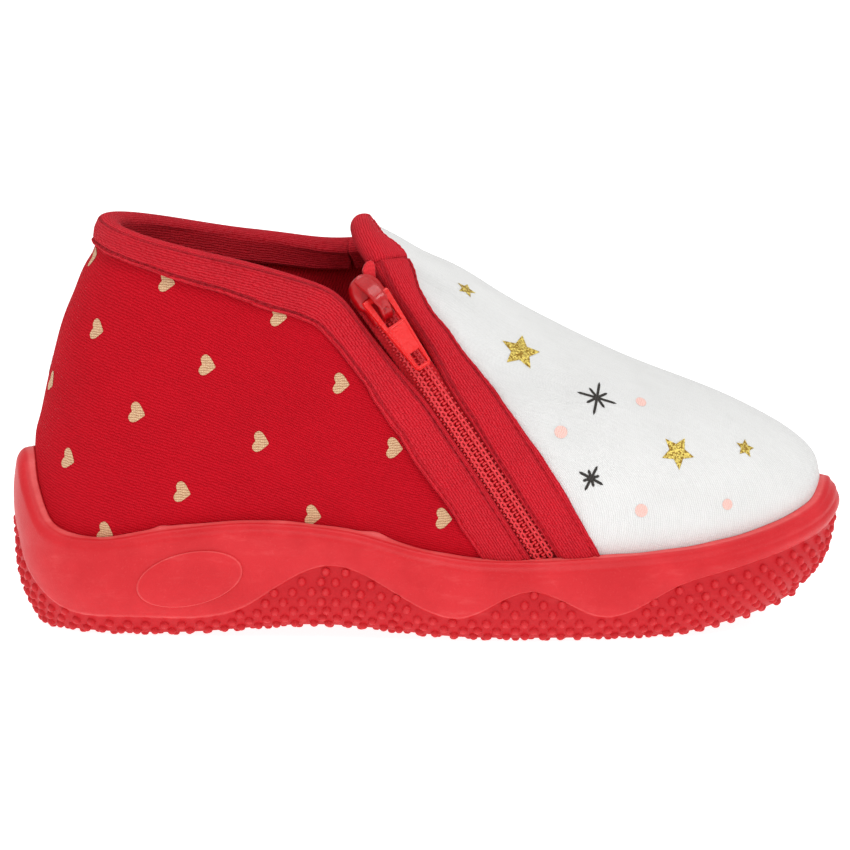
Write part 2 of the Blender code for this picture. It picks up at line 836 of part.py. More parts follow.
def build_bar(bm):
    """Round bar on the hinge's axis."""
    outline = []
    for i in range(BAR_SIDES):
        turn = 2 * math.pi * i / BAR_SIDES
        outline.append((BAR_RADIUS * math.cos(turn), BAR_RADIUS * math.sin(turn)))
    reach = PULL_HALF[0] * 0.98
    prism(bm, outline, lambda along, out, across: (along, across, out), -reach, reach)


def helper(name, builder, look, parent):
    """A shape that joins or cuts its parent and isn't a piece of its own."""
    piece = new_object(name, builder, look)
    piece.parent = parent
    piece.hide_render = True
    piece.display_type = "WIRE"
    return piece


def combine(piece, other, operation):
    step = piece.modifiers.new(other.name, "BOOLEAN")
    step.solver = "EXACT"
    step.operation = operation
    step.object = other


def main():
    for piece in list(bpy.data.objects):
        bpy.data.objects.remove(piece)

    slipper = bpy.data.objects.new("slipper", None)
    bpy.context.scene.collection.objects.link(slipper)

    sole = new_object("sole", build_sole, MOULDED)
    combine(sole, helper("boss", build_boss, MOULDED, sole), "UNION")
    pieces = [
        sole,
        new_object("insole", build_insole, PLAIN_JERSEY),
        new_object("upper", build_upper, PRINTED_JERSEY),
        new_object("collar_binding", build_collar_binding, PLAIN_JERSEY),
        new_object("throat_binding", build_throat_binding, PLAIN_JERSEY),
        new_object("zip_facing", build_zip_facing, PLAIN_JERSEY),
        new_object("zip_tape", build_zip_tape, ZIP_RED),
        new_object("zip_coil", build_zip_coil, ZIP_RED),
    ]

    slider = new_object("zip_slider", build_slider_body, LACQUER)
    combine(slider, helper("bridge", build_bridge, LACQUER, slider), "UNION")
    slider.matrix_world = slider_frame()
    pieces.append(slider)

    pull = new_object("zip_pull", build_pull_plate, LACQUER)
    combine(pull, helper("pull_eye", build_eye, LACQUER, pull), "DIFFERENCE")
    combine(pull, helper("pull_hole", build_hole, LACQUER, pull), "DIFFERENCE")
    combine(pull, helper("pull_bar", build_bar, LACQUER, pull), "UNION")
    hinge = Matrix.Translation(Vector((HINGE_ALONG, 0, HINGE_OUT)) * MM)
    pull.matrix_world = slider_frame() @ hinge
    pieces.append(pull)

    for piece in pieces:
        piece.parent = slipper


main()
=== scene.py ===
"""Looks of the bootie slipper: knitted upper, bindings, zip, print and studded moulded sole.

The shape functions and tables of the shoe are those of its solids, in millimetres, so every piece
lies on the solid that it stands for. Angle is in degrees round the foot: 0 at the toe, 90 at the zip
side, 180 at the heel. Each piece is a grid that is moved onto the shoe, or a copy of a solid.
"""

import math
from collections import namedtuple

import bmesh
import bpy
import numpy as np
from mathutils import Matrix, Vector
from mathutils.bvhtree import BVHTree


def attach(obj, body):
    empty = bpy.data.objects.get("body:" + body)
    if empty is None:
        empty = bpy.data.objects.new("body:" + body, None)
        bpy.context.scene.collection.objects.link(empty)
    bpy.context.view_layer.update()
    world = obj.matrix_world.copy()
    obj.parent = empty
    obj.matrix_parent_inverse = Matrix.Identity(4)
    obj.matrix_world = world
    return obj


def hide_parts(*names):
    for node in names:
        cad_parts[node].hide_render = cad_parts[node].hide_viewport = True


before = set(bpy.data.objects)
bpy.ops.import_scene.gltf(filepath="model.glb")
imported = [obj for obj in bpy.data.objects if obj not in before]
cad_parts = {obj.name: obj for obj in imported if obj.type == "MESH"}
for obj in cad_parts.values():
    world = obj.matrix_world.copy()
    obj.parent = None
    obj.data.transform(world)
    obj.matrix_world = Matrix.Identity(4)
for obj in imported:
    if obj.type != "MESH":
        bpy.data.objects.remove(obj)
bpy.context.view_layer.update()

MM = 0.001
SHOE, PULL = "shoe", "zip_pull"

# Shape of the upper
WALL = 2.6
GAP = 0.3
WIDEST = 0.52
BLUNTNESS = 0.8
HEEL_CAP = 1.12
CAP_POWER = 2.15
TOE_SWING = 5.0
SWING_START = 15.0
WAIST = 2.4
WAIST_SPAN = (-52.0, 26.0)
WAIST_TOP = (28.0, 56.0)
NARROWING = (-0.75, 0.45)
Section = namedtuple("Section", "height back front heel ball")
SECTIONS = (
    Section(8, -76.2, 74.6, 20.4, 29.2),
    Section(17, -77.8, 77.0, 21.6, 30.8),
    Section(26, -78.2, 78.0, 22.4, 31.0),
    Section(35, -77.4, 73.8, 23.0, 29.6),
    Section(44, -75.8, 60.6, 23.0, 27.0),
    Section(53, -73.8, 38.9, 22.8, 25.0),
    Section(62, -71.2, 20.8, 22.5, 23.4),
    Section(71, -67.4, 5.2, 22.7, 22.2),
    Section(80, -63.8, -12.2, 22.9, 20.6),
    Section(86, -61.4, -24.0, 22.6, 19.0),
)
LOW, COLLAR = SECTIONS[2].height, SECTIONS[-3].height
Rim = namedtuple("Rim", "angle outer inner")
RIM = (
    Rim(0, 80.1, 80.1),
    Rim(14, 79.6, 79.6),
    Rim(25, 78.6, 78.6),
    Rim(36, 76.1, 76.4),
    Rim(43, 73.7, 74.8),
    Rim(58, 68.6, 73.4),
    Rim(70, 67.5, 73.0),
    Rim(85, 71.2, 74.0),
    Rim(99, 74.1, 74.9),
    Rim(112, 75.9, 76.1),
    Rim(125, 77.4, 77.4),
    Rim(150, 79.3, 79.3),
    Rim(180, 80.2, 80.2),
)

# Shape of the sole
Edge = namedtuple("Edge", "angle height")
SOLE_TOP = (
    Edge(0, 28.5),
    Edge(16, 24.6),
    Edge(24, 22.7),
    Edge(34, 20.5),
    Edge(48, 18.2),
    Edge(66, 17.0),
    Edge(83, 16.6),
    Edge(92, 18.2),
    Edge(103, 22.0),
    Edge(116, 23.4),
    Edge(131, 21.9),
    Edge(146, 19.6),
    Edge(160, 21.4),
    Edge(168, 28.4),
    Edge(174, 33.4),
    Edge(180, 34.8),
)
WAVE = (
    Edge(0, 21.9),
    Edge(17, 18.6),
    Edge(40, 14.0),
    Edge(51, 11.4),
    Edge(64, 5.4),
    Edge(76, 10.7),
    Edge(88, 5.2),
    Edge(105, 15.3),
    Edge(121, 5.4),
    Edge(138, 4.4),
    Edge(155, 5.2),
    Edge(166, 11.2),
    Edge(180, 22.9),
)
SOLE_WALL = 3.4
LIP = 1.3
LIP_ROUND = 3.0
STEP = 0.45
EDGE_INSET = 5.6
EDGE_POWER = 2.4
EDGE_ROUND = 8.0
HEEL_ROUND = 9.0
TOE_ROUND = 2.5
SOLE_FLOOR = 6.5
HEEL_LIFT = 2.0
LIFT_SPAN = (10.0, -40.0)
ARCH = (-52.0, 10.0)
ARCH_RISE = 2.0
SPRING_START = 48.0
SPRING_END = 81.0
TOE_SPRING = 8.6
SPRING_POWER = 1.7
SPINE_INSET = 16.0
BOSS_MIDDLE = (-46.6, 12.1)
BOSS_HALF = (10.7, 5.3)
BOSS_TILT = math.radians(13)
BOSS_RAISE = 0.6
INSOLE = 3.0

# Zip and bindings
ZIP_FOOT = 33.8
ZIP_LEAN = -0.602
ZIP_BOW = 0.0009
ZIP_OPENING = 4.5
ZIP_SPREAD = 0.8
SPREAD_START = 30.0
SLIDER_HEIGHT = 67.5
SLIDER_HALF = 4.4
HINGE = (0.85, 2.75)  # down the zip and outwards, from the slider's middle
PULL_LENGTH = 16.7
PULL_THICK = 1.15
PULL_HALF = (3.0, 1.7)
TAPE = (-2.0, -1.3)
TAPE_HALF = 3.2
BAND = 0.9
FOLD = 0.45
ROLL_START = 0.4
THROAT_FOLD = 1.4
COLLAR_BAND = 5.6
FACING_BAND = 4.7
INNER_BAND = 5.0
INNER_SEAM = 58.0
INNER_MEET = 0.3  # degrees between the collar's band and the throat's roll on the inner side
SLIT_REACH = 55.0

# Photograph: scale and place of the shoe in it
PX_PER_MM = 5.05
PHOTO_ZERO = (426.0, 621.0)
ELEVATION = math.radians(8.0)
PHOTO_SIDE = 850


# Shape functions, for arrays of angles and heights


def smooth(low, high, value):
    share = np.clip((value - low) / (high - low), 0.0, 1.0)
    return share * share * (3 - 2 * share)


def bump(value, width):
    """A soft hump, 1 at zero and fading out at about twice the width."""
    return np.exp(-((value / width) ** 2))


def read(table, column, at, level_ends=False):
    """A smooth curve through one column of a table, by its first column."""
    keys = np.array([row[0] for row in table], float)
    values = np.array([getattr(row, column) for row in table], float)
    slopes = np.gradient(values)
    slopes[1:-1] = (values[2:] - values[:-2]) / (keys[2:] - keys[:-2])
    for end, other in ((0, 1), (-1, -2)):
        slopes[end] = 0 if level_ends else (values[end] - values[other]) / (keys[end] - keys[other])
    at = np.clip(at, keys[0], keys[-1])
    i = np.clip(np.searchsorted(keys, at) - 1, 0, len(keys) - 2)
    span = keys[i + 1] - keys[i]
    t = (at - keys[i]) / span
    start, end = slopes[i] * span, slopes[i + 1] * span
    lift = values[i + 1] - values[i]
    return values[i] + t * (start + t * (3 * lift - 2 * start - end + t * (start + end - 2 * lift)))


def wrap(angle):
    return np.where(angle > 180, angle - 360, angle)


def read_edge(table, angle):
    return read(table, "height", abs(wrap(angle)), True)


def rim(angle):
    angle = wrap(angle)
    outer, inner = (read(RIM, name, abs(angle), True) for name in ("outer", "inner"))
    return np.where(angle > 0, outer, inner)


def section(height):
    back, front, heel, ball = (read(SECTIONS, name, height) for name in ("back", "front", "heel", "ball"))
    middle = back + WIDEST * (front - back)
    return middle, front - middle, middle - back, heel, ball


def raw_form(angle, height):
    """The upper's outside."""
    angle, height = np.broadcast_arrays(np.asarray(angle, float), np.asarray(height, float))
    middle, forwards, backwards, heel, ball = section(height)
    turn = np.radians(angle)
    along, across = np.cos(turn), np.sin(turn)
    x = middle + along * np.where(along > 0, forwards, backwards)
    half = heel + (ball - heel) * smooth(*NARROWING, along)
    share = np.clip((x - WAIST_SPAN[0]) / (WAIST_SPAN[1] - WAIST_SPAN[0]), 0, 1)
    hollow = WAIST * np.sin(np.pi * share) ** 2 * (1 - smooth(*WAIST_TOP, height))
    half = half - np.where(across < 0, hollow, 0)
    short = np.clip(1 - backwards * (1 + along) / (HEEL_CAP * heel), 0, 1)
    cap = (1 - short**CAP_POWER) ** (1 / CAP_POWER)
    half = half * np.where(along > 0, np.abs(across) ** BLUNTNESS, cap)
    y = -np.copysign(half, across)
    y = y + TOE_SWING * np.maximum(0, (x - SWING_START) / (SPRING_END - SWING_START)) ** 2
    return np.stack([x, y, height], -1)


def unit(vectors):
    return vectors / np.linalg.norm(vectors, axis=-1, keepdims=True)


def tangents(angle, height):
    d_angle, d_height = 0.5, 0.25
    by_angle = (raw_form(angle + d_angle, height) - raw_form(angle - d_angle, height)) / (2 * d_angle)
    by_height = (raw_form(angle, height + d_height) - raw_form(angle, height - d_height)) / (2 * d_height)
    return by_angle, by_height


def normal(angle, height):
    by_angle, by_height = tangents(angle, height)
    return unit(np.cross(by_height, by_angle))


def form(angle, height, offset=0.0):
    offset = np.asarray(offset, float)[..., None]
    return raw_form(angle, height) + normal(angle, height) * offset


def level(angle, height, offset):
    """As form, but moved level with the floor."""
    by_angle, _ = tangents(angle, height)
    out = unit(np.cross(np.array([0.0, 0.0, 1.0]), by_angle))
    return raw_form(angle, height) + out * np.asarray(offset, float)[..., None]


def plain_zip_angle(height):
    middle, forwards, backwards, _, _ = section(height)
    along = ZIP_FOOT + ZIP_LEAN * height - ZIP_BOW * height**2 - middle
    return np.degrees(np.arccos(along / np.where(along > 0, forwards, backwards)))


def zip_drift(height):
    return (plain_zip_angle(height + 1.0) - plain_zip_angle(height - 1.0)) / 2


def zip_angle(height, across=0.0):
    """Angle of the zip's middle line at a height, or of a line beside it, towards the heel."""
    angle = plain_zip_angle(height)
    by_angle, by_height = tangents(angle, height)
    slope = unit(by_height + by_angle * np.asarray(zip_drift(height))[..., None])
    lean = np.linalg.norm(np.cross(unit(by_angle), slope), axis=-1)
    return angle + across / (np.linalg.norm(by_angle, axis=-1) * lean)


def slit(height, side):
    half = ZIP_OPENING + ZIP_SPREAD * smooth(SPREAD_START, SLIDER_HEIGHT, height)
    return zip_angle(height, side * half)


def sole_bottom(x):
    start, end = ARCH
    share = np.clip((x - start) / (end - start), 0, 1)
    rise = np.maximum(0, (x - SPRING_START) / (SPRING_END - SPRING_START))
    return ARCH_RISE * np.sin(np.pi * share) ** 2 + TOE_SPRING * rise**SPRING_POWER


def sole_floor(x):
    spring = np.where(x > ARCH[1], sole_bottom(x), 0)
    return spring + SOLE_FLOOR + HEEL_LIFT * (1 - smooth(LIFT_SPAN[1], LIFT_SPAN[0], x))


def floor_under(angle):
    return sole_floor(raw_form(angle, SECTIONS[0].height)[..., 0])


def bottom_under(angle):
    return sole_bottom(level(angle, SECTIONS[1].height, SOLE_WALL)[..., 0])


def sole_side(angle, height, relief=0.0, stepped=0.0):
    """A point on the outside of the sole. Stepped is 1 in the zone that lies back below the wave."""
    top = read_edge(SOLE_TOP, angle)
    base = np.maximum(height, SECTIONS[1].height)
    rise = (LIP_ROUND - np.clip(top - height, 0, LIP_ROUND)) / LIP_ROUND
    offset = SOLE_WALL - (SOLE_WALL - LIP) * (1 - np.sqrt(1 - rise * rise))
    along = np.cos(np.radians(angle))
    reach = EDGE_ROUND + HEEL_ROUND * np.maximum(0, -along) ** 6 + TOE_ROUND * np.maximum(0, along) ** 6
    low = np.clip((reach - (height - bottom_under(angle))) / reach, 0, 1)
    offset = offset - EDGE_INSET * low**EDGE_POWER - STEP * stepped + relief
    point = level(angle, base, offset)
    point[..., 2] = height
    return point


# Meshes

WEAVE = "weave"  # name of the map that holds the cloth's own flat coordinates


def loft(bm, points, weave=None, pick=None, marks=None):
    """A grid moved onto rows of points, in millimetres. Rows or columns that meet are merged. Weave is
    the cloth's own flat coordinates of each point, pick gives a face its material, and marks are named
    values of the points that a material reads."""
    rows, columns = points.shape[:2]
    first = len(bm.faces)
    marks = marks or {}
    for name in marks:
        if name not in bm.verts.layers.float:
            bm.verts.layers.float.new(name)
    flat = bm.loops.layers.uv.get(WEAVE) or bm.loops.layers.uv.new(WEAVE)
    made = bmesh.ops.create_grid(bm, x_segments=columns - 1, y_segments=rows - 1, size=1.0)["verts"]
    place = {}
    for vert in made:
        column = round((vert.co.x + 1) / 2 * (columns - 1))
        place[vert] = (round((vert.co.y + 1) / 2 * (rows - 1)), column)
    bm.faces.ensure_lookup_table()
    for face in bm.faces[first:]:
        if weave is not None:
            for loop in face.loops:
                loop[flat].uv = weave[place[loop.vert]] * MM
        if pick:
            face.material_index = pick(*(min(place[vert][n] for vert in face.verts) for n in (0, 1)))
    for name, values in marks.items():
        layer = bm.verts.layers.float[name]
        for vert in made:
            vert[layer] = values[place[vert]]
    for vert in made:
        vert.co = points[place[vert]] * MM
    bmesh.ops.remove_doubles(bm, verts=made, dist=1e-7)


def close_ends(bm):
    """Closes the open ends of a tube."""
    open_edges = [edge for edge in bm.edges if edge.is_boundary]
    if open_edges:
        bmesh.ops.holes_fill(bm, edges=open_edges, sides=0)


def piece(name, bm, looks, slot, *nodes, body=SHOE, outwards=True):
    """Makes a mesh a piece of the shoe."""
    if outwards:
        bmesh.ops.recalc_face_normals(bm, faces=bm.faces[:])
    mesh = bpy.data.meshes.new(name)
    bm.to_mesh(mesh)
    bm.free()
    mesh.shade_smooth()
    for look in looks:
        mesh.materials.append(look)
    made = bpy.data.objects.new(name, mesh)
    bpy.context.scene.collection.objects.link(made)
    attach(made, body)
    if nodes:
        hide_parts(*nodes)
    return made


def lengths(points, axis):
    """Length along rows or columns of points, from their first."""
    steps = np.linalg.norm(np.diff(points, axis=axis), axis=-1)
    start = np.zeros_like(np.take(steps, [0], axis=axis))
    return np.concatenate([start, np.cumsum(steps, axis=axis)], axis=axis)


def along_curve(values, count):
    """Many points on a smooth curve through a few, which it passes at even steps."""
    values = np.asarray(values, float)
    at = np.linspace(0, len(values) - 1, count)
    slopes = np.gradient(values, axis=0)
    i = np.clip(at.astype(int), 0, len(values) - 2)
    t = (at - i)[:, None]
    lift = values[i + 1] - values[i]
    start, end = slopes[i], slopes[i + 1]
    return values[i] + t * (start + t * (3 * lift - 2 * start - end + t * (start + end - 2 * lift)))


# Shader maths


class Value:
    """A socket that takes part in Python arithmetic: each operator adds one Math node."""

    def __init__(self, look, socket):
        self.look = look
        self.socket = socket

    def math(self, operation, *others):
        inputs = dict(enumerate((self, *others)))
        return self.look.node("ShaderNodeMath", {"operation": operation}, inputs)

    def __add__(self, other):
        return self.math("ADD", other)

    def __sub__(self, other):
        return self.math("SUBTRACT", other)

    def __rsub__(self, other):
        return (self * -1) + other

    def __mul__(self, other):
        return self.math("MULTIPLY", other)

    def __truediv__(self, other):
        return self.math("DIVIDE", other)

    def __pow__(self, other):
        return self.math("POWER", other)

    __radd__ = __add__
    __rmul__ = __mul__

    def fract(self):
        return self.math("FRACT")

    def size(self):
        return self.math("ABSOLUTE")

    def sine(self):
        return self.math("SINE")

    def ramp(self, low, high):
        """0 below low, 1 above high, and an S-curve between them."""
        inputs = {"Value": self, "From Min": low, "From Max": high}
        return self.look.node("ShaderNodeMapRange", {"interpolation_type": "SMOOTHSTEP"}, inputs)

    def parts(self):
        split = self.look.node("ShaderNodeSeparateXYZ", {}, {0: self}).socket.node
        return [Value(self.look, socket) for socket in split.outputs]


class Look:
    """A material: constants go straight to the shader's sockets, and maths fills the rest."""

    def __init__(self, name, **constants):
        self.material = bpy.data.materials.new(name)
        self.material.use_nodes = True
        self.tree = self.material.node_tree
        self.shader = self.tree.nodes["Principled BSDF"]
        for socket, value in constants.items():
            self.put(self.shader.inputs[socket.replace("_", " ")], value)

    def put(self, socket, value):
        if isinstance(value, Value):
            self.tree.links.new(value.socket, socket)
        else:
            socket.default_value = value

    def node(self, kind, settings, inputs, output=0):
        node = self.tree.nodes.new(kind)
        for name, value in settings.items():
            setattr(node, name, value)
        for name, value in inputs.items():
            self.put(node.inputs[name], value)
        return Value(self, node.outputs[output])

    def place(self):
        return self.node("ShaderNodeTexCoord", {}, {}, "Object")

    def mark(self, name):
        """A value that was written on the mesh's points."""
        return self.node("ShaderNodeAttribute", {"attribute_name": name}, {}, "Fac")

    def weave(self, turn=0.0):
        """The cloth's own coordinates in metres, turned."""
        flat = self.node("ShaderNodeUVMap", {"uv_map": WEAVE}, {})
        return self.node("ShaderNodeMapping", {}, {"Vector": flat, "Rotation": (0, 0, turn)})

    def stretched(self, vector, scale):
        return self.node("ShaderNodeVectorMath", {"operation": "MULTIPLY"}, {0: vector, 1: scale})

    def noise(self, vector, size, detail=2.0, rough=0.5):
        """Noise from 0 to 1 with features of a size in metres."""
        inputs = {"Vector": vector, "Scale": 1 / size, "Detail": detail, "Roughness": rough}
        return self.node("ShaderNodeTexNoise", {}, inputs)

    def cells(self, vector, size):
        """A random colour for each cell of a size in metres."""
        return self.node("ShaderNodeTexVoronoi", {}, {"Vector": vector, "Scale": 1 / size}, "Color")

    def mix(self, share, first, second):
        """From the first colour to the second. The numbers are the node's sockets for colours."""
        return self.node("ShaderNodeMix", {"data_type": "RGBA"}, {0: share, 6: first, 7: second}, 2)

    def relief(self, height, depth):
        """A bump of a real depth in metres."""
        return self.node("ShaderNodeBump", {}, {"Height": height, "Distance": depth, "Strength": 1.0})

    def finish(self, **varying):
        for socket, value in varying.items():
            self.put(self.shader.inputs[socket.replace("_", " ")], value)
        return self.material


def srgb(red, green, blue):
    """A colour as it looks on screen, from 0 to 255, for a shader."""
    linear = []
    for part in (red, green, blue):
        part /= 255
        linear.append(part / 12.92 if part <= 0.04045 else ((part + 0.055) / 1.055) ** 2.4)
    return (*linear, 1.0)


# Materials

WALE = 0.00044  # width of a column of knit loops
COURSE = 0.00036
JERSEY_TURN = math.radians(-106)  # the quarters' cloth is cut nearly on its side


def knit(look, turn, wale=WALE):
    """Height of plain jersey, 0 in the gaps and 1 on the yarn, and streaks along its columns."""
    flat = look.weave(turn)
    across, along, _ = flat.parts()
    wander = look.noise(flat, 0.0013, 3.0, 0.6) - 0.5
    column = ((across / wale + wander * 1.5).fract() - 0.5).size() * 2
    loop = ((along / COURSE + column * 0.5).fract() * math.pi).sine()
    yarn = (1 - column**2 * 0.75) * (loop * 0.45 + 0.55)
    streaks = look.noise(look.stretched(flat, (1.0, 0.12, 1.0)), wale * 1.5, 2.0, 0.6)
    return yarn, streaks


def jersey(name, deep, light, top, turn=0.0, wale=WALE, depth=0.00012, contrast=0.5, fluff_and_highlight=0.2, sheen=0.05):
    """Matt knitted cloth: painted shade in the gaps between the yarns, and pale fluff and a painted
    highlight on top of them.
    """
    look = Look(name, Sheen_Weight=sheen, Sheen_Roughness=0.4, Sheen_Tint=top, Specular_IOR_Level=0.1)
    yarn, streaks = knit(look, turn, wale)
    place = look.place()
    clouds = look.noise(place, 0.011, 3.0)
    fluff = look.noise(place, 0.0003, 2.0, 0.6)
    # The yarn term paints shade into the gaps between the yarns; streaks and clouds vary the tone.
    tone = (yarn - 0.5) * contrast + (streaks - 0.5) * contrast * 0.5 + (clouds - 0.5) * 0.3 + 0.5
    colour = look.mix(tone.ramp(0.0, 1.0), deep, light)
    # Pale fluff specks and a painted highlight on the yarns' tops.
    colour = look.mix((fluff * 0.6 + yarn * 0.6).ramp(0.45, 0.95) * fluff_and_highlight, colour, top)
    height = yarn + fluff * 0.8 + streaks * 0.3
    rough = 0.85 + fluff * 0.12
    return look.finish(Base_Color=colour, Roughness=rough, Normal=look.relief(height, depth))


def moulded_rubber():
    """Satin moulded rubber: rougher in the studded zone, which is darkened with painted shade, and
    lightened with painted highlights along its edges, the heel pad's rim and the stud tips, with chalky
    bloom in streaks.
    """
    look = Look("moulded_rubber", Specular_IOR_Level=0.3, Subsurface_Weight=0.06)
    look.put(look.shader.inputs["Subsurface Radius"], (0.002, 0.0006, 0.0005))
    place = look.place()
    # Marks on the mesh: pale paints highlights on edges, the heel pad's rim and stud tips; deep paints
    # shade over the recessed studded zone and its studs.
    pale, deep = look.mark("pale"), look.mark("deep")
    grain = look.noise(place, 0.0004, 3.0, 0.65)
    clouds = look.noise(place, 0.012, 4.0, 0.6)
    streaks = look.noise(look.stretched(place, (0.35, 0.35, 1.6)), 0.003, 5.0, 0.7)
    bloom = streaks.ramp(0.5, 0.8) * clouds.ramp(0.35, 0.7)
    red = look.mix(clouds.ramp(0.3, 0.7), srgb(199, 25, 34), srgb(211, 36, 44))
    # Painted shade: the studded zone is a darker red.
    red = look.mix(deep, red, srgb(194, 18, 30))
    # Painted highlights from the pale mark, with chalky bloom in streaks and pale grain.
    worn = (pale * (0.35 + streaks * 0.9)).ramp(0.1, 1.0) * 0.75 + bloom * 0.22
    worn = worn + grain.ramp(0.55, 0.8) * (1 - deep) * 0.12
    colour = look.mix(worn, red, srgb(240, 118, 116))
    rough = 0.38 + grain * 0.12 + bloom * 0.15 + deep * 0.16
    return look.finish(Base_Color=colour, Roughness=rough, Normal=look.relief(grain + clouds * 2, 0.00006))


def woven_tape():
    look = Look("woven_tape", Specular_IOR_Level=0.3, Sheen_Weight=0.15)
    across, along, _ = look.weave().parts()
    over = (across / 0.0005 * math.pi).sine() * (along / 0.0005 * math.pi).sine()
    colour = look.mix(over.ramp(-0.6, 0.8), srgb(204, 14, 30), srgb(222, 30, 44))
    return look.finish(Base_Color=colour, Roughness=0.75 + over * 0.05, Normal=look.relief(over, 0.00005))


def coil_nylon():
    """Dyed nylon that lets some light through, paler where it is worn."""
    look = Look("coil_nylon", Specular_IOR_Level=0.5, Coat_Weight=0.2, Coat_Roughness=0.2)
    flecks = look.noise(look.place(), 0.0004, 3.0, 0.7)
    colour = look.mix(flecks.ramp(0.4, 0.8), srgb(220, 18, 34), srgb(242, 58, 64))
    return look.finish(Base_Color=colour, Roughness=0.3 + flecks * 0.2, Normal=look.relief(flecks, 0.00003))


def sewing_thread():
    look = Look("sewing_thread", Specular_IOR_Level=0.4, Sheen_Weight=0.2)
    fibres = look.noise(look.place(), 0.00025, 3.0, 0.7)
    colour = look.mix(fibres.ramp(0.3, 0.7), srgb(216, 26, 40), srgb(240, 62, 70))
    return look.finish(Base_Color=colour, Roughness=0.6 + fibres * 0.2, Normal=look.relief(fibres, 0.00004))


def lacquer(name, deep, light, gloss):
    """Glossy paint on cast metal, a little uneven."""
    look = Look(name, Coat_Roughness=0.06, Specular_IOR_Level=0.35)
    place = look.place()
    flow = look.noise(place, 0.0013, 2.0)
    dust = look.noise(place, 0.0004, 3.0, 0.7)
    colour = look.mix(dust.ramp(0.4, 0.8) * 0.6 + flow * 0.3, deep, light)
    rough = 0.24 + dust * 0.16
    coat = (0.5 + flow * 0.8) * gloss
    uneven = look.relief(flow * 2 + dust, 0.00005)
    return look.finish(Base_Color=colour, Roughness=rough, Coat_Weight=coat, Normal=uneven)


def heart_print():
    """Pale print that sits in the knit, so the columns show through."""
    look = Look("heart_print", Specular_IOR_Level=0.3, Sheen_Weight=0.1)
    yarn, streaks = knit(look, math.radians(80), 0.0005)
    fleck = look.noise(look.place(), 0.0004, 3.0, 0.7)
    tone = yarn * 0.6 + streaks * 0.2 + fleck * 0.4
    colour = look.mix(tone.ramp(0.3, 0.95), srgb(162, 106, 72), srgb(227, 191, 149))
    return look.finish(Base_Color=colour, Roughness=0.7 + fleck * 0.1, Normal=look.relief(yarn, 0.00012))


def glitter_print():
    """Gold flakes in clear binder: each flake has its own brightness and tilt."""
    look = Look("glitter_print", Specular_IOR_Level=0.6)
    place = look.place()
    flake, tilt, _ = look.cells(place, 0.00032).parts()
    colour = look.mix(flake.ramp(0.1, 0.9), srgb(150, 112, 20), srgb(250, 226, 120))
    rough = 0.2 + tilt * 0.35
    return look.finish(
        Base_Color=colour, Roughness=rough, Metallic=0.35 + flake * 0.5, Normal=look.relief(tilt, 0.0002)
    )


def ink_print(name, deep, light):
    """Flat screen print with the knit showing faintly."""
    look = Look(name, Specular_IOR_Level=0.3)
    yarn, _ = knit(look, 0.0)
    fleck = look.noise(look.place(), 0.0003, 3.0, 0.7)
    colour = look.mix((yarn * 0.5 + fleck * 0.6).ramp(0.3, 0.9), deep, light)
    return look.finish(Base_Color=colour, Roughness=0.6 + fleck * 0.15, Normal=look.relief(yarn, 0.0001))


# Colour of pale fluff and of the painted highlight on the yarns' tops.
PALE_FLUFF_AND_HIGHLIGHT = srgb(238, 92, 104)
QUARTER = jersey(
    "quarter_jersey",
    srgb(154, 0, 12),
    srgb(196, 4, 26),
    srgb(220, 50, 68),
    JERSEY_TURN,
    wale=0.00056,
    contrast=0.6,
    fluff_and_highlight=0.2,
)
VAMP = jersey(
    "vamp_jersey",
    srgb(206, 206, 204),
    srgb(236, 236, 235),
    srgb(244, 244, 243),
    depth=0.00008,
    contrast=0.5,
    fluff_and_highlight=0.2,
)
LINING = jersey("lining_jersey", srgb(150, 2, 16), srgb(222, 14, 34), PALE_FLUFF_AND_HIGHLIGHT, wale=0.0006, fluff_and_highlight=0.1)
BINDING = jersey(
    "binding_jersey",
    srgb(150, 0, 12),
    srgb(224, 18, 38),
    PALE_FLUFF_AND_HIGHLIGHT,
    math.radians(90),
    wale=0.0005,
    depth=0.0002,
    contrast=0.45,
    fluff_and_highlight=0.26,
    sheen=0.3,
)
SOCK = jersey("insole_jersey", srgb(150, 8, 22), srgb(196, 20, 36), PALE_FLUFF_AND_HIGHLIGHT, depth=0.0002)
RUBBER = moulded_rubber()
TAPE_WEAVE = woven_tape()
NYLON = coil_nylon()
THREAD = sewing_thread()
# The slider's paint is darker than the pull's: painted shade for the dark reflections on its glossy body.
BODY_PAINT_SHADED = lacquer("slider_paint_shaded", srgb(168, 2, 12), srgb(200, 14, 24), 0.4)
PULL_PAINT = lacquer("pull_paint", srgb(222, 20, 22), srgb(236, 40, 38), 0.08)
HEART = heart_print()
GLITTER = glitter_print()
BLACK_INK = ink_print("black_ink", srgb(34, 32, 30), srgb(62, 58, 54))
PINK_INK = ink_print("pink_ink", srgb(236, 186, 176), srgb(246, 208, 198))


# Upper

QUARTER_COLUMNS = 210
VAMP_COLUMNS = 150
OUTER_ROWS = 66
INNER_ROWS = 30
QUARTER_SIDE, VAMP_SIDE, LINING_SIDE = 0, 1, 2
TOE_FILL = 1.0  # the stuffed toe stands out over the sole
SEAM_PULL = 0.35  # depth of the trough where a seam pulls the padding in
COLLAR_PUFF = 0.25  # swell of the padding below the collar's band
SOLE_PUFF = 0.3  # and above the sole
CREASE_TAIL = 0.2  # a crease fades out over this share past each end

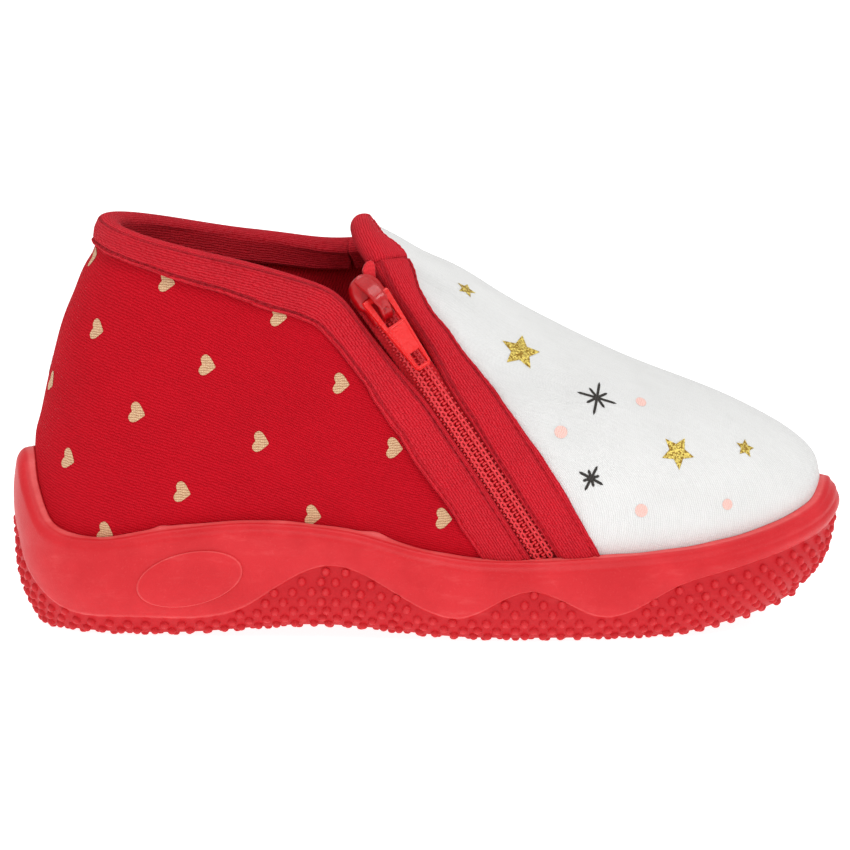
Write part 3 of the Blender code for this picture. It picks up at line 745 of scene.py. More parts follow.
# Soft troughs and ridges on the zip side, as lines in the side view
Crease = namedtuple("Crease", "start end width depth")
CREASES = (
    Crease((-52, 66), (-20, 56), 4.5, -0.5),
    Crease((-66, 40), (-34, 33), 5.0, -0.45),
    Crease((-30, 58), (-10, 30), 5.5, 0.45),
    Crease((-70, 60), (-62, 34), 4.0, 0.4),
    Crease((-8, 40), (8, 24), 4.0, -0.4),
    Crease((36, 30), (58, 26), 4.0, -0.4),
    Crease((24, 44), (46, 36), 5.0, 0.35),
    Crease((8, 62), (28, 50), 4.0, -0.3),
)


def girth(angle, height, start):
    """Length round the upper at a height, from a starting angle."""
    steps = 48
    turns = start + (angle - start)[..., None] * np.linspace(0, 1, steps)
    ring = raw_form(turns, np.repeat(height[..., None], steps, -1))
    length = np.linalg.norm(np.diff(ring, axis=-2), axis=-1).sum(-1)
    return np.copysign(length, angle - start)


def upper_relief(angle, height):
    """How far the padded cloth stands out: creases, and the pull of the seams round each panel."""
    point = raw_form(angle, height)
    side = point[..., [0, 2]]
    relief = np.zeros(angle.shape)
    for crease in CREASES:
        start, end = np.array(crease.start, float), np.array(crease.end, float)
        run = end - start
        share = np.clip(((side - start) @ run) / (run @ run), -CREASE_TAIL, 1 + CREASE_TAIL)
        away = np.linalg.norm(side - start - share[..., None] * run, axis=-1)
        fade = np.sin(np.pi * (share + CREASE_TAIL) / (1 + 2 * CREASE_TAIL))
        relief += crease.depth * fade * bump(away, crease.width)
    turned = wrap(angle)
    under_collar = rim(angle) - height - COLLAR_BAND
    relief -= SEAM_PULL * bump(under_collar - 0.5, 1.8)
    relief += COLLAR_PUFF * bump(under_collar - 5.0, 3.0)
    for turn, band in ((slit(height, 1), COLLAR_BAND), (slit(height, -1), -FACING_BAND)):
        by_angle, _ = tangents(turn, height)
        beside = (turned - turn) * np.linalg.norm(by_angle, axis=-1) - band
        relief -= SEAM_PULL * bump(beside, 1.6) * (turned > 0)
    seam = (turned + zip_angle(height)) * np.linalg.norm(tangents(-zip_angle(height), height)[0], axis=-1)
    relief += np.where(turned < 0, SEAM_PULL * (bump(seam - 1.1, 0.8) - bump(seam, 0.5)), 0)
    relief += TOE_FILL * bump(turned, 26) * bump(height - 34, 7)
    above_sole = height - read_edge(SOLE_TOP, angle)
    return relief + SOLE_PUFF * bump(above_sole - 3.5, 2.5)


def upper_grid():
    """Angles and heights of the upper's outside, as rows from the sole to the collar and columns from
    the rear edge of the zip's slit, round the heel and over the vamp to the front edge."""
    start, seam, end = slit(LOW, 1), 360 - zip_angle(LOW), 360 + slit(LOW, -1)
    quarter = np.linspace(start, seam, QUARTER_COLUMNS + 1)
    columns = np.concatenate([quarter, np.linspace(seam, end, VAMP_COLUMNS + 1)[1:]])
    rear, front, inner = (
        1 - smooth(0, SLIT_REACH, away) for away in (columns - start, end - columns, abs(columns - seam))
    )

    def lean(height):
        turn = columns + rear * (slit(height, 1) - slit(LOW, 1))
        turn = turn + front * (slit(height, -1) - slit(LOW, -1))
        return turn - inner * (zip_angle(height) - zip_angle(LOW))

    top = np.full(columns.shape, float(COLLAR))
    for _ in range(14):
        top += 0.7 * (rim(lean(top)) - top)
    low = floor_under(lean(np.full(columns.shape, float(SECTIONS[0].height)))) + GAP
    heights = low + (top - low) * np.linspace(0, 1, OUTER_ROWS + 1)[:, None]
    return lean(heights), heights


def make_upper():
    angle, height = upper_grid()
    outside = form(angle, height, upper_relief(angle, height))
    inner_rows = np.linspace(OUTER_ROWS, 0, INNER_ROWS + 1).astype(int)
    inside = form(angle[inner_rows], height[inner_rows], -WALL)
    up = lengths(outside, 0) + height[:1]
    round_heel = girth(angle, height, 180.0)
    round_toe = girth(angle, height, 360.0)
    across = np.where(np.arange(angle.shape[1]) <= QUARTER_COLUMNS, round_heel, round_toe)
    weave = np.stack([across, up], -1)
    points = np.concatenate([outside, inside, outside[:1]])
    weave = np.concatenate([weave, weave[inner_rows], weave[:1]])

    def side(row, column):
        if row >= OUTER_ROWS:
            return LINING_SIDE
        return QUARTER_SIDE if column < QUARTER_COLUMNS else VAMP_SIDE

    bm = bmesh.new()
    loft(bm, points, weave, side)
    close_ends(bm)
    bmesh.ops.recalc_face_normals(bm, faces=bm.faces[:])
    tree = BVHTree.FromBMesh(bm)
    piece("upper_shell", bm, (QUARTER, VAMP, LINING), "upper", "upper")
    return tree


# Bindings

PATH_STEP = 0.5
EASE = 3.0  # corners of the bindings are rounded over about this length
GROOVE = 0.85  # the seam that holds a band lies this far in from its edge
WELT_SWELL = 0.6  # and further where the facing is widest
STITCH = 2.0
# Points across a band's face near its edge, as shares of the seam's place
FACE = np.array([0, 0.06, 0.16, 0.3, 0.47, 0.64, 0.78, 0.9, 1.0, 1.1, 1.22, 1.36, 1.55, 1.82, 2.24])
FACE_REST = 17  # points over the rest of the face
FOLD_START = len(FACE) + FACE_REST - 1
ZIP_FOLD_TOP = (46.0, 62.0)  # below these heights the folds beside the zip bulge towards it
REAR_BULGE = 0.95
FRONT_BULGE = 1.25
REAR_SECOND, FRONT_SECOND = -1.05, -1.7  # second seams on the folds beside the zip
SECOND_DEPTH = 0.7
PIT = 0.32  # depth of a band's stitches
Width = namedtuple("Width", "run width")
# Width of the collar's band, by length from its start beside the zip
REAR_WIDTH = (
    Width(0, 5.8),
    Width(12, 6.0),
    Width(28, 6.0),
    Width(35, 5.9),
    Width(42, 5.5),
    Width(50, 5.4),
    Width(58, 5.55),
    Width(63, 5.75),
    Width(67, 6.2),
    Width(72, 6.5),
    Width(78, 6.4),
    Width(85, 6.1),
    Width(92, 5.75),
    Width(100, 5.4),
    Width(106, 5.1),
    Width(120, 4.8),
    Width(150, 5.0),
    Width(240, 5.0),
)
# Width of facing and throat roll, by length from the corner between them
FRONT_WIDTH = (
    Width(-70, 4.7),
    Width(-66, 4.9),
    Width(-59, 5.4),
    Width(-54, 5.9),
    Width(-45, 6.2),
    Width(-39, 6.0),
    Width(-30, 5.6),
    Width(-20, 4.7),
    Width(-14, 4.4),
    Width(-9.5, 4.1),
    Width(-5, 4.9),
    Width(-2, 5.9),
    Width(1, 6.4),
    Width(5.5, 6.8),
    Width(8.5, 6.6),
    Width(11.5, 5.8),
    Width(13.5, 4.8),
    Width(15.5, 3.9),
    Width(19, 3.4),
    Width(24, 2.4),
    Width(30, 1.7),
    Width(60, 1.7),
)
SEAM_RISE = 4.3  # the seam between facing and throat roll lies this far past the corner
INNER_ROLL = (-30.0, 5.0)  # the throat's roll is slimmer on the inner side, past these angles
BELOW_SOLE = 7.0  # paths of the bands start this far below the sole's edge, and are cut at it
EDGE_LOW, EDGE_THICK, EDGE_CURL = 0.1, 0.72, 0.4  # a band's sewn edge: foot, thickness and rounding
FOLD_TURN = 86  # degrees of the fold either side of its middle
CORNER_SINK = 0.45  # depth of the seam between facing and throat roll
SEAM_TOP = 66.0  # height where the inner seam's stitches end
SEAM_BESIDE, SEAM_OUT = -1.1, 0.25  # place of those stitches from the seam
SEAM_THREAD = 0.15


def slit_path(low, high, side):
    heights = np.linspace(low, high, 60)
    return np.stack([slit(heights, side), heights], -1)


def rim_path(start, end):
    angles = np.linspace(start, end, 120)
    return np.stack([angles, rim(angles)], -1)


def meet(side):
    """Angle and height where an edge of the slit meets the collar."""
    height = float(COLLAR)
    for _ in range(30):
        height += 0.5 * float(rim(slit(height, side)) - height)
    return float(slit(height, side)), height


def slit_foot(side):
    return float(read_edge(SOLE_TOP, slit(SECTIONS[1].height, side))) - BELOW_SOLE


def eased(path):
    """A path of angles and heights with even steps and rounded corners."""
    run = lengths(raw_form(path[:, 0], path[:, 1]), 0)
    even = np.linspace(0, run[-1], round(run[-1] / PATH_STEP) + 1)
    fine = np.stack([np.interp(even, run, path[:, n]) for n in (0, 1)], -1)
    size = round(3 * EASE / PATH_STEP)
    weights = np.exp(-0.5 * (np.arange(-size, size + 1) * PATH_STEP / EASE) ** 2)
    before, after = 2 * fine[0] - fine[size:0:-1], 2 * fine[-1] - fine[-2 : -size - 2 : -1]
    padded = np.concatenate([before, fine, after])
    return np.stack([np.convolve(padded[:, n], weights / weights.sum(), "valid") for n in (0, 1)], -1)


def collar_path():
    angle, height = meet(1)
    collar = rim_path(angle, 360 - INNER_SEAM)
    return eased(np.concatenate([slit_path(slit_foot(1), height, 1), collar[1:]]))


def front_path():
    """Up the front edge of the slit and over the throat, and the corner's place in the path."""
    angle, height = meet(-1)
    throat = rim_path(angle, INNER_MEET - INNER_SEAM)
    path = eased(np.concatenate([slit_path(slit_foot(-1), height, -1), throat[1:]]))
    away = np.linalg.norm(raw_form(path[:, 0], path[:, 1]) - raw_form(angle, height), axis=-1)
    return path, int(np.argmin(away))


def stations(path, side):
    """Stations along a path: angle, height, and the change of both per millimetre across the path."""
    before, after = (path[np.clip(np.arange(len(path)) + step, 0, len(path) - 1)] for step in (-1, 1))
    by_angle, by_height = tangents(path[:, 0], path[:, 1])
    run = by_angle * (after - before)[:, :1] + by_height * (after - before)[:, 1:]
    out = unit(side * np.cross(normal(path[:, 0], path[:, 1]), run))
    round_square, up_square, skew = ((a * b).sum(-1) for a, b in (
        (by_angle, by_angle), (by_height, by_height), (by_angle, by_height),
    ))
    out_round, out_up = ((out * way).sum(-1) for way in (by_angle, by_height))
    area = round_square * up_square - skew * skew
    d_angle = (out_round * up_square - out_up * skew) / area
    d_height = (out_up * round_square - out_round * skew) / area
    return np.column_stack([path, d_angle, d_height])


def on_strip(rows, across, out):
    """Points across and out from stations, which are given for each row or for each point."""
    rows = rows[:, None] if rows.ndim == 2 else rows
    angle, height, d_angle, d_height = (rows[..., n] for n in range(4))
    return form(angle + across * d_angle, height + across * d_height, out)


def trimmed(rows, across):
    """Stations for each point of a strip, spread again from where it leaves the sole."""
    turn = rows[:, None, 0] + across * rows[:, None, 2]
    clear = rows[:, None, 1] + across * rows[:, None, 3] - read_edge(SOLE_TOP, turn)
    last = len(rows) - 1
    first = np.argmax(clear > 0, axis=0)
    here = np.take_along_axis(clear, first[None], 0)[0]
    under = np.take_along_axis(clear, np.maximum(first - 1, 0)[None], 0)[0]
    start = np.where(first > 0, first - here / np.where(first > 0, here - under, 1.0), 0.0)
    at = start + (last - start) * np.linspace(0, 1, last + 1)[:, None]
    i = np.minimum(at.astype(int), last - 1)
    return rows[i] + (rows[i + 1] - rows[i]) * (at - i)[..., None]


def band_section(width, roll, groove, boxy):
    """Outline of a folded band from its sewn edge, over its face and fold, to its inner edge: across
    and out. The values are columns, one for each station. Groove is the seam's place from the edge, and
    boxy flattens the fold."""
    rise, back = GAP + BAND, -WALL - GAP - BAND
    rest = np.linspace(0, 1, FACE_REST + 1)[1:]
    welt = groove * FACE
    inset = np.concatenate([welt, welt[:, -1:] + (width - ROLL_START - welt[:, -1:]) * rest], 1)
    edge = np.clip(1 - inset / EDGE_CURL, 0, 1)
    face_out = EDGE_LOW + EDGE_THICK * np.sqrt(1 - edge * edge)
    face_out = face_out + (rise - EDGE_LOW - EDGE_THICK) * smooth(groove, 3.2, inset)
    face_out -= 0.14 * bump(inset - groove, 0.22)
    turns = np.radians(np.linspace(FOLD_TURN, -FOLD_TURN, 37))
    power = 1 - 0.4 * boxy
    fold = ROLL_START - (rise + roll) * np.cos(turns) ** power
    bulge = np.sign(turns) * np.abs(np.sin(turns)) ** power
    fold_out = (rise + back) / 2 + (rise - back) / 2 * bulge
    across = np.concatenate([width - inset, fold], 1)
    out = np.concatenate([face_out, fold_out], 1)
    face = out.shape[1]
    inner = np.concatenate([np.linspace(ROLL_START, INNER_BAND, 9), [INNER_BAND, -GAP, -GAP]])
    inner_out = np.array([back] * 9 + [back + BAND, back + BAND, 0.0])
    tail = np.ones((len(width), 1))
    across = np.concatenate([across, tail * inner, width], 1)
    return across, np.concatenate([out, tail * inner_out, 0 * tail], 1), face


def make_band(name, node, path, side, width, roll, second, low, groove=GROOVE, sink=0.0):
    """A folded jersey strip that puckers a little between its stitches. Low is 1 beside the zip."""
    groove = np.minimum(np.full(width.shape, 1.0) * groove, 0.3 * width)
    across, out, face = band_section(width, roll, groove, low)
    rows = trimmed(stations(path, side), across[:1])
    outline = np.stack([across, out], -1)
    cloth = lengths(np.concatenate([outline, outline[:, :1]], 1), 1)
    cloth = cloth - cloth[:, FOLD_START : FOLD_START + 1]
    run = np.arange(len(path))[:, None] * PATH_STEP
    on_face = np.arange(across.shape[1]) < face
    inset = width - across
    pit = 0.5 + 0.5 * np.cos(2 * np.pi * run / STITCH)
    pucker = 2 * pit - 1 + 0.4 * np.sin(run * 1.9)
    out = out - on_face * PIT * pit * bump(inset - groove, 0.26)
    trough = low * (0.4 + 0.6 * pit) * bump(across - second, 0.24)
    out = out - on_face * SECOND_DEPTH * trough * (out > -0.6)
    out = out + on_face * bump(inset - 0.3, 0.4) * 0.05 * pucker - on_face * sink
    out = out + on_face * smooth(1.0, 3.0, inset) * 0.07 * np.sin(run / 5.3 + across * 0.7)
    ripple = 0.1 * np.sin(run / 2.9) + 0.06 * np.sin(run / 1.3 + 1.0) + 0.02 * pucker
    across = across + on_face * bump(inset, 1.2) * ripple
    points = on_strip(rows, across, out)
    points = np.concatenate([points, points[:, :1]], 1)
    weave = np.stack([lengths(points, 0), cloth], -1)
    bm = bmesh.new()
    loft(bm, points, weave)
    close_ends(bm)
    return piece(name, bm, (BINDING,), node, node)


def spread(path):
    """Places of a band's stations in its path, once they are spread from the sole's edge."""
    clear = path[:, 1] - read_edge(SOLE_TOP, path[:, 0])
    return np.linspace(np.argmax(clear > 0), len(path) - 1, len(path))


def beside_zip(path, at):
    """1 for the stations along the lower zip, fading out below the slider, as a column."""
    angle, height = (np.interp(at, np.arange(len(path)), path[:, n])[:, None] for n in (0, 1))
    return (1 - smooth(*ZIP_FOLD_TOP, height)) * (angle < 120)


def make_bindings():
    path = collar_path()
    at = spread(path)
    low = beside_zip(path, at)
    width = read(REAR_WIDTH, "width", at[:, None] * PATH_STEP)
    make_band("collar_band", "collar_binding", path, 1, width, FOLD + REAR_BULGE * low, REAR_SECOND, low)
    path, corner = front_path()
    seam = corner + round(SEAM_RISE / PATH_STEP)
    at = np.concatenate([spread(path[: seam + 1]), np.arange(seam + 1, len(path))])
    low = beside_zip(path, at)
    away = (at[:, None] - corner) * PATH_STEP
    width = read(FRONT_WIDTH, "width", away)
    fat = smooth(-7, 8, away) * smooth(*INNER_ROLL, path[:, :1])
    roll = FOLD + (THROAT_FOLD - FOLD) * fat + FRONT_BULGE * low
    groove = GROOVE + WELT_SWELL * bump(away + 45, 18)
    sink = CORNER_SINK * bump(away - SEAM_RISE, 0.5)
    for name, node, part in (
        ("front_facing", "zip_facing", slice(0, seam + 1)),
        ("throat_roll", "throat_binding", slice(seam, None)),
    ):
        values = (column[part] for column in (width, roll))
        make_band(name, node, path[part], -1, *values, FRONT_SECOND, low[part], groove[part], sink[part])


def inner_seam():
    """Stitches along the plain seam between quarter and vamp on the inner side."""
    heights = np.linspace(SECTIONS[1].height + 2, SEAM_TOP, 120)
    rows = stations(np.stack([-zip_angle(heights), heights], -1), 1)
    run = lengths(on_strip(rows, 0.0, 0.0), 0)[:, 0]
    bm = bmesh.new()
    turn = np.linspace(0, 2 * np.pi, 7)
    share = np.linspace(-1, 1, 5)
    radius = SEAM_THREAD * (1 - share[:, None] ** 4)
    half = 0.425 * STITCH
    for middle in np.arange(STITCH / 2, run[-1], STITCH):
        near = between_rows(rows, run, middle + half * share)
        across = SEAM_BESIDE + radius * np.cos(turn)
        loft(bm, on_strip(near, across, SEAM_OUT + radius * np.sin(turn)))
    piece("inner_seam_stitches", bm, (THREAD,), "upper")


def between_rows(rows, run, at):
    """Stations at lengths along a path."""
    return np.stack([np.interp(at, run, rows[:, n]) for n in range(4)], -1)


# Zip

PITCH = 1.19
TAPE_FOOT, COIL_FOOT = 13.0, 16.0  # heights where tapes and coil start, inside the sole
TAB_REACH = 2.6  # the tab above the slider spreads this far past the tape, under the facing
TAB_REAR = -1.9
TAB_RISE = 1.6
TAB_ROUND = 1.2
TAPE_COLUMNS = 13
LOOP = (1.2, 0.37, 0.64)  # middle of the sewn chain, half width and half length of its loops
LOOP_THREAD = 0.21
LOOP_OUT, LOOP_WAVE = 0.25, 0.16
Tooth = namedtuple("Tooth", "across radius out")
# A tooth of the coil, from its outer end to just past the middle
TOOTH = (
    Tooth(-2.2, 0.04, -0.5),
    Tooth(-2.1, 0.2, -0.35),
    Tooth(-1.8, 0.26, -0.3),
    Tooth(-1.2, 0.26, -0.3),
    Tooth(-0.45, 0.26, -0.3),
    Tooth(0.1, 0.26, -0.2),
    Tooth(0.3, 0.2, -0.25),
    Tooth(0.36, 0.04, -0.3),
)
TIPS = (Tooth(-2.08, 0.24, -0.1), Tooth(0.0, 0.28, 0.0), Tooth(2.08, 0.24, -0.1))  # rounded glints


def zip_rows(low, high):
    heights = np.linspace(low, high, 160)
    rows = stations(np.stack([zip_angle(heights), heights], -1), 1)
    return rows, lengths(on_strip(rows, 0.0, 0.0), 0)[:, 0]


def make_tape():
    """Both tapes. Above the slider only a rounded tab of the front one shows, beside the facing."""
    low, high = TAPE
    rows, run = zip_rows(TAPE_FOOT, SLIDER_HEIGHT + SLIDER_HALF + GAP)
    left = (run[-1] - run)[:, None]
    share = np.linspace(0, 1, TAPE_COLUMNS)
    share = np.concatenate([share, share[::-1]])
    end = np.sqrt(np.clip(1 - np.clip(1 - left / TAB_ROUND, 0, 1) ** 2, 0.02, 1))
    front = -TAPE_HALF - TAB_REACH * (1 - smooth(1.0, 5.0, left))
    rear = TAPE_HALF + (TAB_REAR - TAPE_HALF) * (1 - smooth(1.6, 4.5, left))
    middle, half = (front + rear) / 2, (rear - front) / 2 * end
    across = middle + (2 * share - 1) * half
    raised = TAB_RISE * (1 - smooth(1.5, 6.0, left))
    out = np.where(np.arange(2 * TAPE_COLUMNS) < TAPE_COLUMNS, high, low) + raised
    points = on_strip(rows, across, out)
    points = np.concatenate([points, points[:, :1]], 1)
    weave = np.stack([lengths(points, 0), lengths(points, 1)], -1)
    bm = bmesh.new()
    loft(bm, points, weave)
    close_ends(bm)
    piece("zip_tapes", bm, (TAPE_WEAVE,), "zip_tape", "zip_tape")


def bead(bm, place, radius):
    bmesh.ops.create_uvsphere(
        bm, u_segments=8, v_segments=5, radius=radius * MM, matrix=Matrix.Translation(Vector(place) * MM)
    )


def make_coil():
    """Coil loops with a glint in the middle and at each end, and a sewn chain along either side."""
    rows, run = zip_rows(COIL_FOOT, SLIDER_HEIGHT + SLIDER_HALF / 2)
    turn = np.linspace(0, 2 * np.pi, 9)
    reach, thick, arch = (np.array(column) for column in zip(*TOOTH))
    bm = bmesh.new()
    for number, middle in enumerate(np.arange(PITCH, run[-1], PITCH / 2)):
        side = 1 if number % 2 else -1
        near = between_rows(rows, run, (middle + thick[:, None] * np.cos(turn)).ravel())
        out = (arch[:, None] + thick[:, None] * np.sin(turn)).reshape(-1, 1)
        points = on_strip(near, np.repeat(side * reach, len(turn))[:, None], out)
        loft(bm, points.reshape(len(reach), len(turn), 3))
    piece("zip_teeth", bm, (NYLON,), "zip_coil", "zip_coil")
    middle_line, wide, long = LOOP
    ring = np.linspace(0, 2 * np.pi, 13)[:, None]
    tube = np.linspace(0, 2 * np.pi, 7)
    thread = LOOP_THREAD * np.cos(tube)
    bm = bmesh.new()
    glints = bmesh.new()
    for middle in np.arange(PITCH, run[-1], PITCH):
        for side in (-1, 1):
            along = np.cos(ring) * (long + thread)
            near = between_rows(rows, run, (middle + along).ravel())
            across = side * middle_line + np.sin(ring) * (wide + thread)
            out = LOOP_OUT + LOOP_WAVE * np.cos(ring) + LOOP_THREAD * np.sin(tube)
            points = on_strip(near, across.reshape(-1, 1), out.reshape(-1, 1))
            loft(bm, points.reshape(len(ring), len(tube), 3))
        near = between_rows(rows, run, np.array([middle + PITCH / 2]))
        for tip in TIPS:
            bead(glints, on_strip(near, tip.across, tip.out)[0, 0], tip.radius)
    piece("zip_chain_stitch", bm, (THREAD,), "zip_coil")
    piece("zip_teeth_tips", glints, (THREAD,), "zip_coil")


def softened(node, width):
    """A copy of a solid with its flat faces whole again and its edges rounded."""
    bm = bmesh.new()
    bm.from_mesh(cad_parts[node].data)
    bmesh.ops.remove_doubles(bm, verts=bm.verts[:], dist=1e-6)
    bmesh.ops.dissolve_limit(bm, angle_limit=math.radians(2), verts=bm.verts[:], edges=bm.edges[:])
    sharp = [edge for edge in bm.edges if edge.is_manifold and edge.calc_face_angle() > math.radians(28)]
    bmesh.ops.bevel(
        bm,
        geom=sharp,
        offset=width * MM,
        offset_type="OFFSET",
        affect="EDGES",
        segments=3,
        profile=0.5,
        material=-1,
        clamp_overlap=True,
    )
    return bm


def slider_place(along, across, out):
    """Points from the slider's own axes: down the zip, across it towards the heel, and outwards."""
    height = np.array(SLIDER_HEIGHT)
    angle = zip_angle(height)
    by_angle, by_height = tangents(angle, height)
    down = -unit(by_height + by_angle * zip_drift(height))
    outwards = normal(angle, height)
    aside = unit(np.cross(outwards, down))
    place = raw_form(angle, height)
    for part, way in zip(np.broadcast_arrays(along, across, out), (down, aside, outwards)):
        place = place + np.asarray(part, float)[..., None] * way
    return place


NOSE, FOOT = -4.8, 5.2  # ends of the slider's body, down the zip
BODY_HALF, WAIST_HALF = 3.45, 2.75
SKIRT = -0.6
CHANNEL = (2.3, 0.85)  # half width and roof of the way for the coil
PLATE = 1.5
ARCH_LINE = (
    (-3.9, 1.3), (-3.2, 1.9), (-2.2, 2.8), (-1.0, 3.9), (0.2, 4.6), (1.5, 4.85), (2.8, 4.5), (3.9, 3.7),
    (4.7, 2.7), (5.1, 1.7), (5.2, 0.9),
)
STRAP = ((1.45, 0.55), (1.15, 0.5))  # half width and half thickness of the bridge, above and below
STRAP_CORNER = 0.35  # squareness of the bridge's section
RIM_RISE = 0.22
NOSE_END = -1.0  # the nose narrows above this
NOSE_POWER = 2.3
DOME = 0.6


def make_body():
    """The slider's body: a domed nose, a lower plate behind it, and a channel for the coil."""
    along = NOSE + (FOOT - NOSE) * np.linspace(0, 1, 61)[:, None] ** 1.25
    nose = np.clip((NOSE_END - along) / (NOSE_END - NOSE), 0, 0.999)
    half = BODY_HALF * (1 - nose**NOSE_POWER) ** (1 / NOSE_POWER)
    half = half - (BODY_HALF - WAIST_HALF) * smooth(0.4, 2.2, along)
    share = np.sin(np.linspace(-1, 1, 41) * np.pi / 2)
    across = half * share
    domed = (1 - smooth(0.1, 0.5, along)) * DOME * (1 - nose**3)
    top = PLATE - 0.5 * nose**2 + domed * (1 - 0.6 * share**2) + 0.3 * bump(across, 1.3) * (along < 0)
    out = SKIRT + (top - SKIRT) * np.clip(1 - np.abs(share) ** 6, 0, 1) ** 0.4
    room = np.clip(half - 0.6, 0.05, CHANNEL[0])
    inner = room * np.array([1, 1, -1, -1])
    inner_out = np.array([SKIRT, CHANNEL[1], CHANNEL[1], SKIRT]) + 0 * room
    across = np.concatenate([across, inner, across[:, :1]], 1)
    out = np.concatenate([out, inner_out, out[:, :1]], 1)
    bm = bmesh.new()
    loft(bm, slider_place(along, across, out))
    close_ends(bm)
    return bm


def add_bridge(bm):
    """The strap that holds the pull: it rises from the nose, and its lower half has a raised rim."""
    line = along_curve(ARCH_LINE, 61)
    ahead = np.gradient(line, axis=0)
    ahead = ahead / np.linalg.norm(ahead, axis=-1, keepdims=True)
    low = smooth(1.6, 2.8, line[:, :1])
    half, thick = (STRAP[0][n] + (STRAP[1][n] - STRAP[0][n]) * low for n in (0, 1))
    turn = np.linspace(0, 2 * np.pi, 41)
    side, lift = (np.sign(way) * np.abs(way) ** STRAP_CORNER for way in (np.cos(turn), np.sin(turn)))
    across = half * side
    upper = np.clip(lift, 0, 1)
    rise = thick * lift + upper * low * RIM_RISE * (bump(np.abs(side) - 0.72, 0.22) - 0.8 * bump(side, 0.5))
    rise = rise - upper * 0.7 * bump(line[:, :1] - 3.7, 0.3) * bump(across, 0.35)
    along = line[:, :1] - ahead[:, 1:] * rise
    out = line[:, 1:] + ahead[:, :1] * rise
    loft(bm, slider_place(along, across, out))
    close_ends(bm)


def make_slider():
    bm = make_body()
    add_bridge(bm)
    piece("slider_body", bm, (BODY_PAINT_SHADED,), "zip_slider", "zip_slider")
    bm = softened("zip_pull", 0.2)
    tab = piece("pull_tab", bm, (PULL_PAINT,), "zip_pull", "zip_pull", body=PULL)
    tab.data.set_sharp_from_angle(angle=math.radians(10))
    bm = bmesh.new()
    add_frame(bm)
    piece("pull_frame", bm, (PULL_PAINT,), "zip_pull", body=PULL)


def add_frame(bm):
    """Raised bead round the pull's panel and its tip."""
    start, end, inset, bead_half = 6.75, PULL_LENGTH - 0.4, 0.42, 0.2
    wide = PULL_HALF[0] + (PULL_HALF[1] - PULL_HALF[0]) * np.array([start, end]) / PULL_LENGTH - inset
    corners = [(start, -wide[0]), (end - 0.3, -wide[1]), (end, -wide[1] + 0.3), (end, wide[1] - 0.3)]
    corners += [(end - 0.3, wide[1]), (start, wide[0]), (start, -wide[0])]
    legs = []
    for first, second in zip(corners, corners[1:]):
        legs.append(np.linspace(first, second, 9)[:-1])
    path = np.concatenate([*legs, [corners[0]]])
    ring = np.concatenate([path[-2:-1], path, path[1:2]])
    ahead = ring[2:] - ring[:-2]
    ahead = ahead / np.linalg.norm(ahead, axis=-1, keepdims=True)
    turn = np.linspace(0, 2 * np.pi, 9)
    along = HINGE[0] + path[:, :1] - ahead[:, 1:] * bead_half * np.cos(turn)
    across = path[:, 1:] + ahead[:, :1] * bead_half * np.cos(turn)
    out = HINGE[1] + PULL_THICK / 2 + 0.6 * bead_half * np.sin(turn)
    loft(bm, slider_place(along, across, out))


# Sole

RING = 600
STUD_ROOM = 0.75  # the underside lies this far above the floor, on its studs
STUD = (0.86, 0.8)  # radius and height
STUD_PITCH = 3.5
STUD_ROWS = 2.0
STUD_LAYERS = 12
FIRST_LAYER = 0.75
STUD_CLEAR = 0.8  # studs end this far below the wave
STUD_STAGGER = 0.25
UNDER_FLOOR = -5.0  # rays that find the underside start here
TOE_SWELL = 0.35  # the band is rounder at the toe
MIDDLE_SWELL = 0.12
LIP_DROPS = (0.0, 0.25, 0.5, 0.8, 1.1, 1.4, 1.8, 2.2, 2.6, LIP_ROUND)
LEDGE = ((0.08, 0.3), (0.2, 0.8), (0.4, 1.1))  # drop below the wave, and share of the step back
Ring = namedtuple("Ring", "size raised pale")
# The heel's oval pad, from its foot to its middle; pale is a painted highlight round its rim
BOSS_RINGS = (
    Ring(1.02, -0.4, 0.0),
    Ring(1.0, 0.1, 0.3),
    Ring(0.992, 0.32, 0.7),
    Ring(0.978, 0.43, 0.6),
    Ring(0.95, 0.46, 0.2),
    Ring(0.6, 0.5, 0.0),
    Ring(0.0, 0.52, 0.0),
)
BOSS_EDGE = 0.46  # a ring raised by this lies at the pad's full height
# A stud, from its foot to its tip, as shares of its radius and height; pale is a painted highlight towards
# its tip
STUD_RINGS = (
    Ring(1.12, -0.25, 0.0),
    Ring(1.0, 0.2, 0.0),
    Ring(0.86, 0.62, 0.0),
    Ring(0.5, 0.92, 0.25),
    Ring(0.0, 1.0, 0.4),
)


def ring_angles(count):
    turn = np.linspace(0, 360, count + 1)
    return turn - 6.0 * np.sin(np.radians(2 * turn))


def spine(points, height_of):
    """The line down the middle of a ring of points, one point for each."""
    low, high = points[:, 0].min() + SPINE_INSET, points[:, 0].max() - SPINE_INSET
    turn = np.linspace(0, 2 * np.pi, len(points))
    x = (low + high) / 2 + (high - low) / 2 * np.cos(turn)
    y = (points[:, 1] + points[::-1, 1]) / 2
    return np.stack([x, y, height_of(x)], -1)


def towards_spine(points, height_of, shares):
    middle = spine(points, height_of)
    rows = []
    for share in shares:
        row = points + (middle - points) * share
        row[:, 2] = height_of(row[:, 0])
        rows.append(row)
    return np.array(rows)


def lowest(angle):
    return bottom_under(angle) + STUD_ROOM


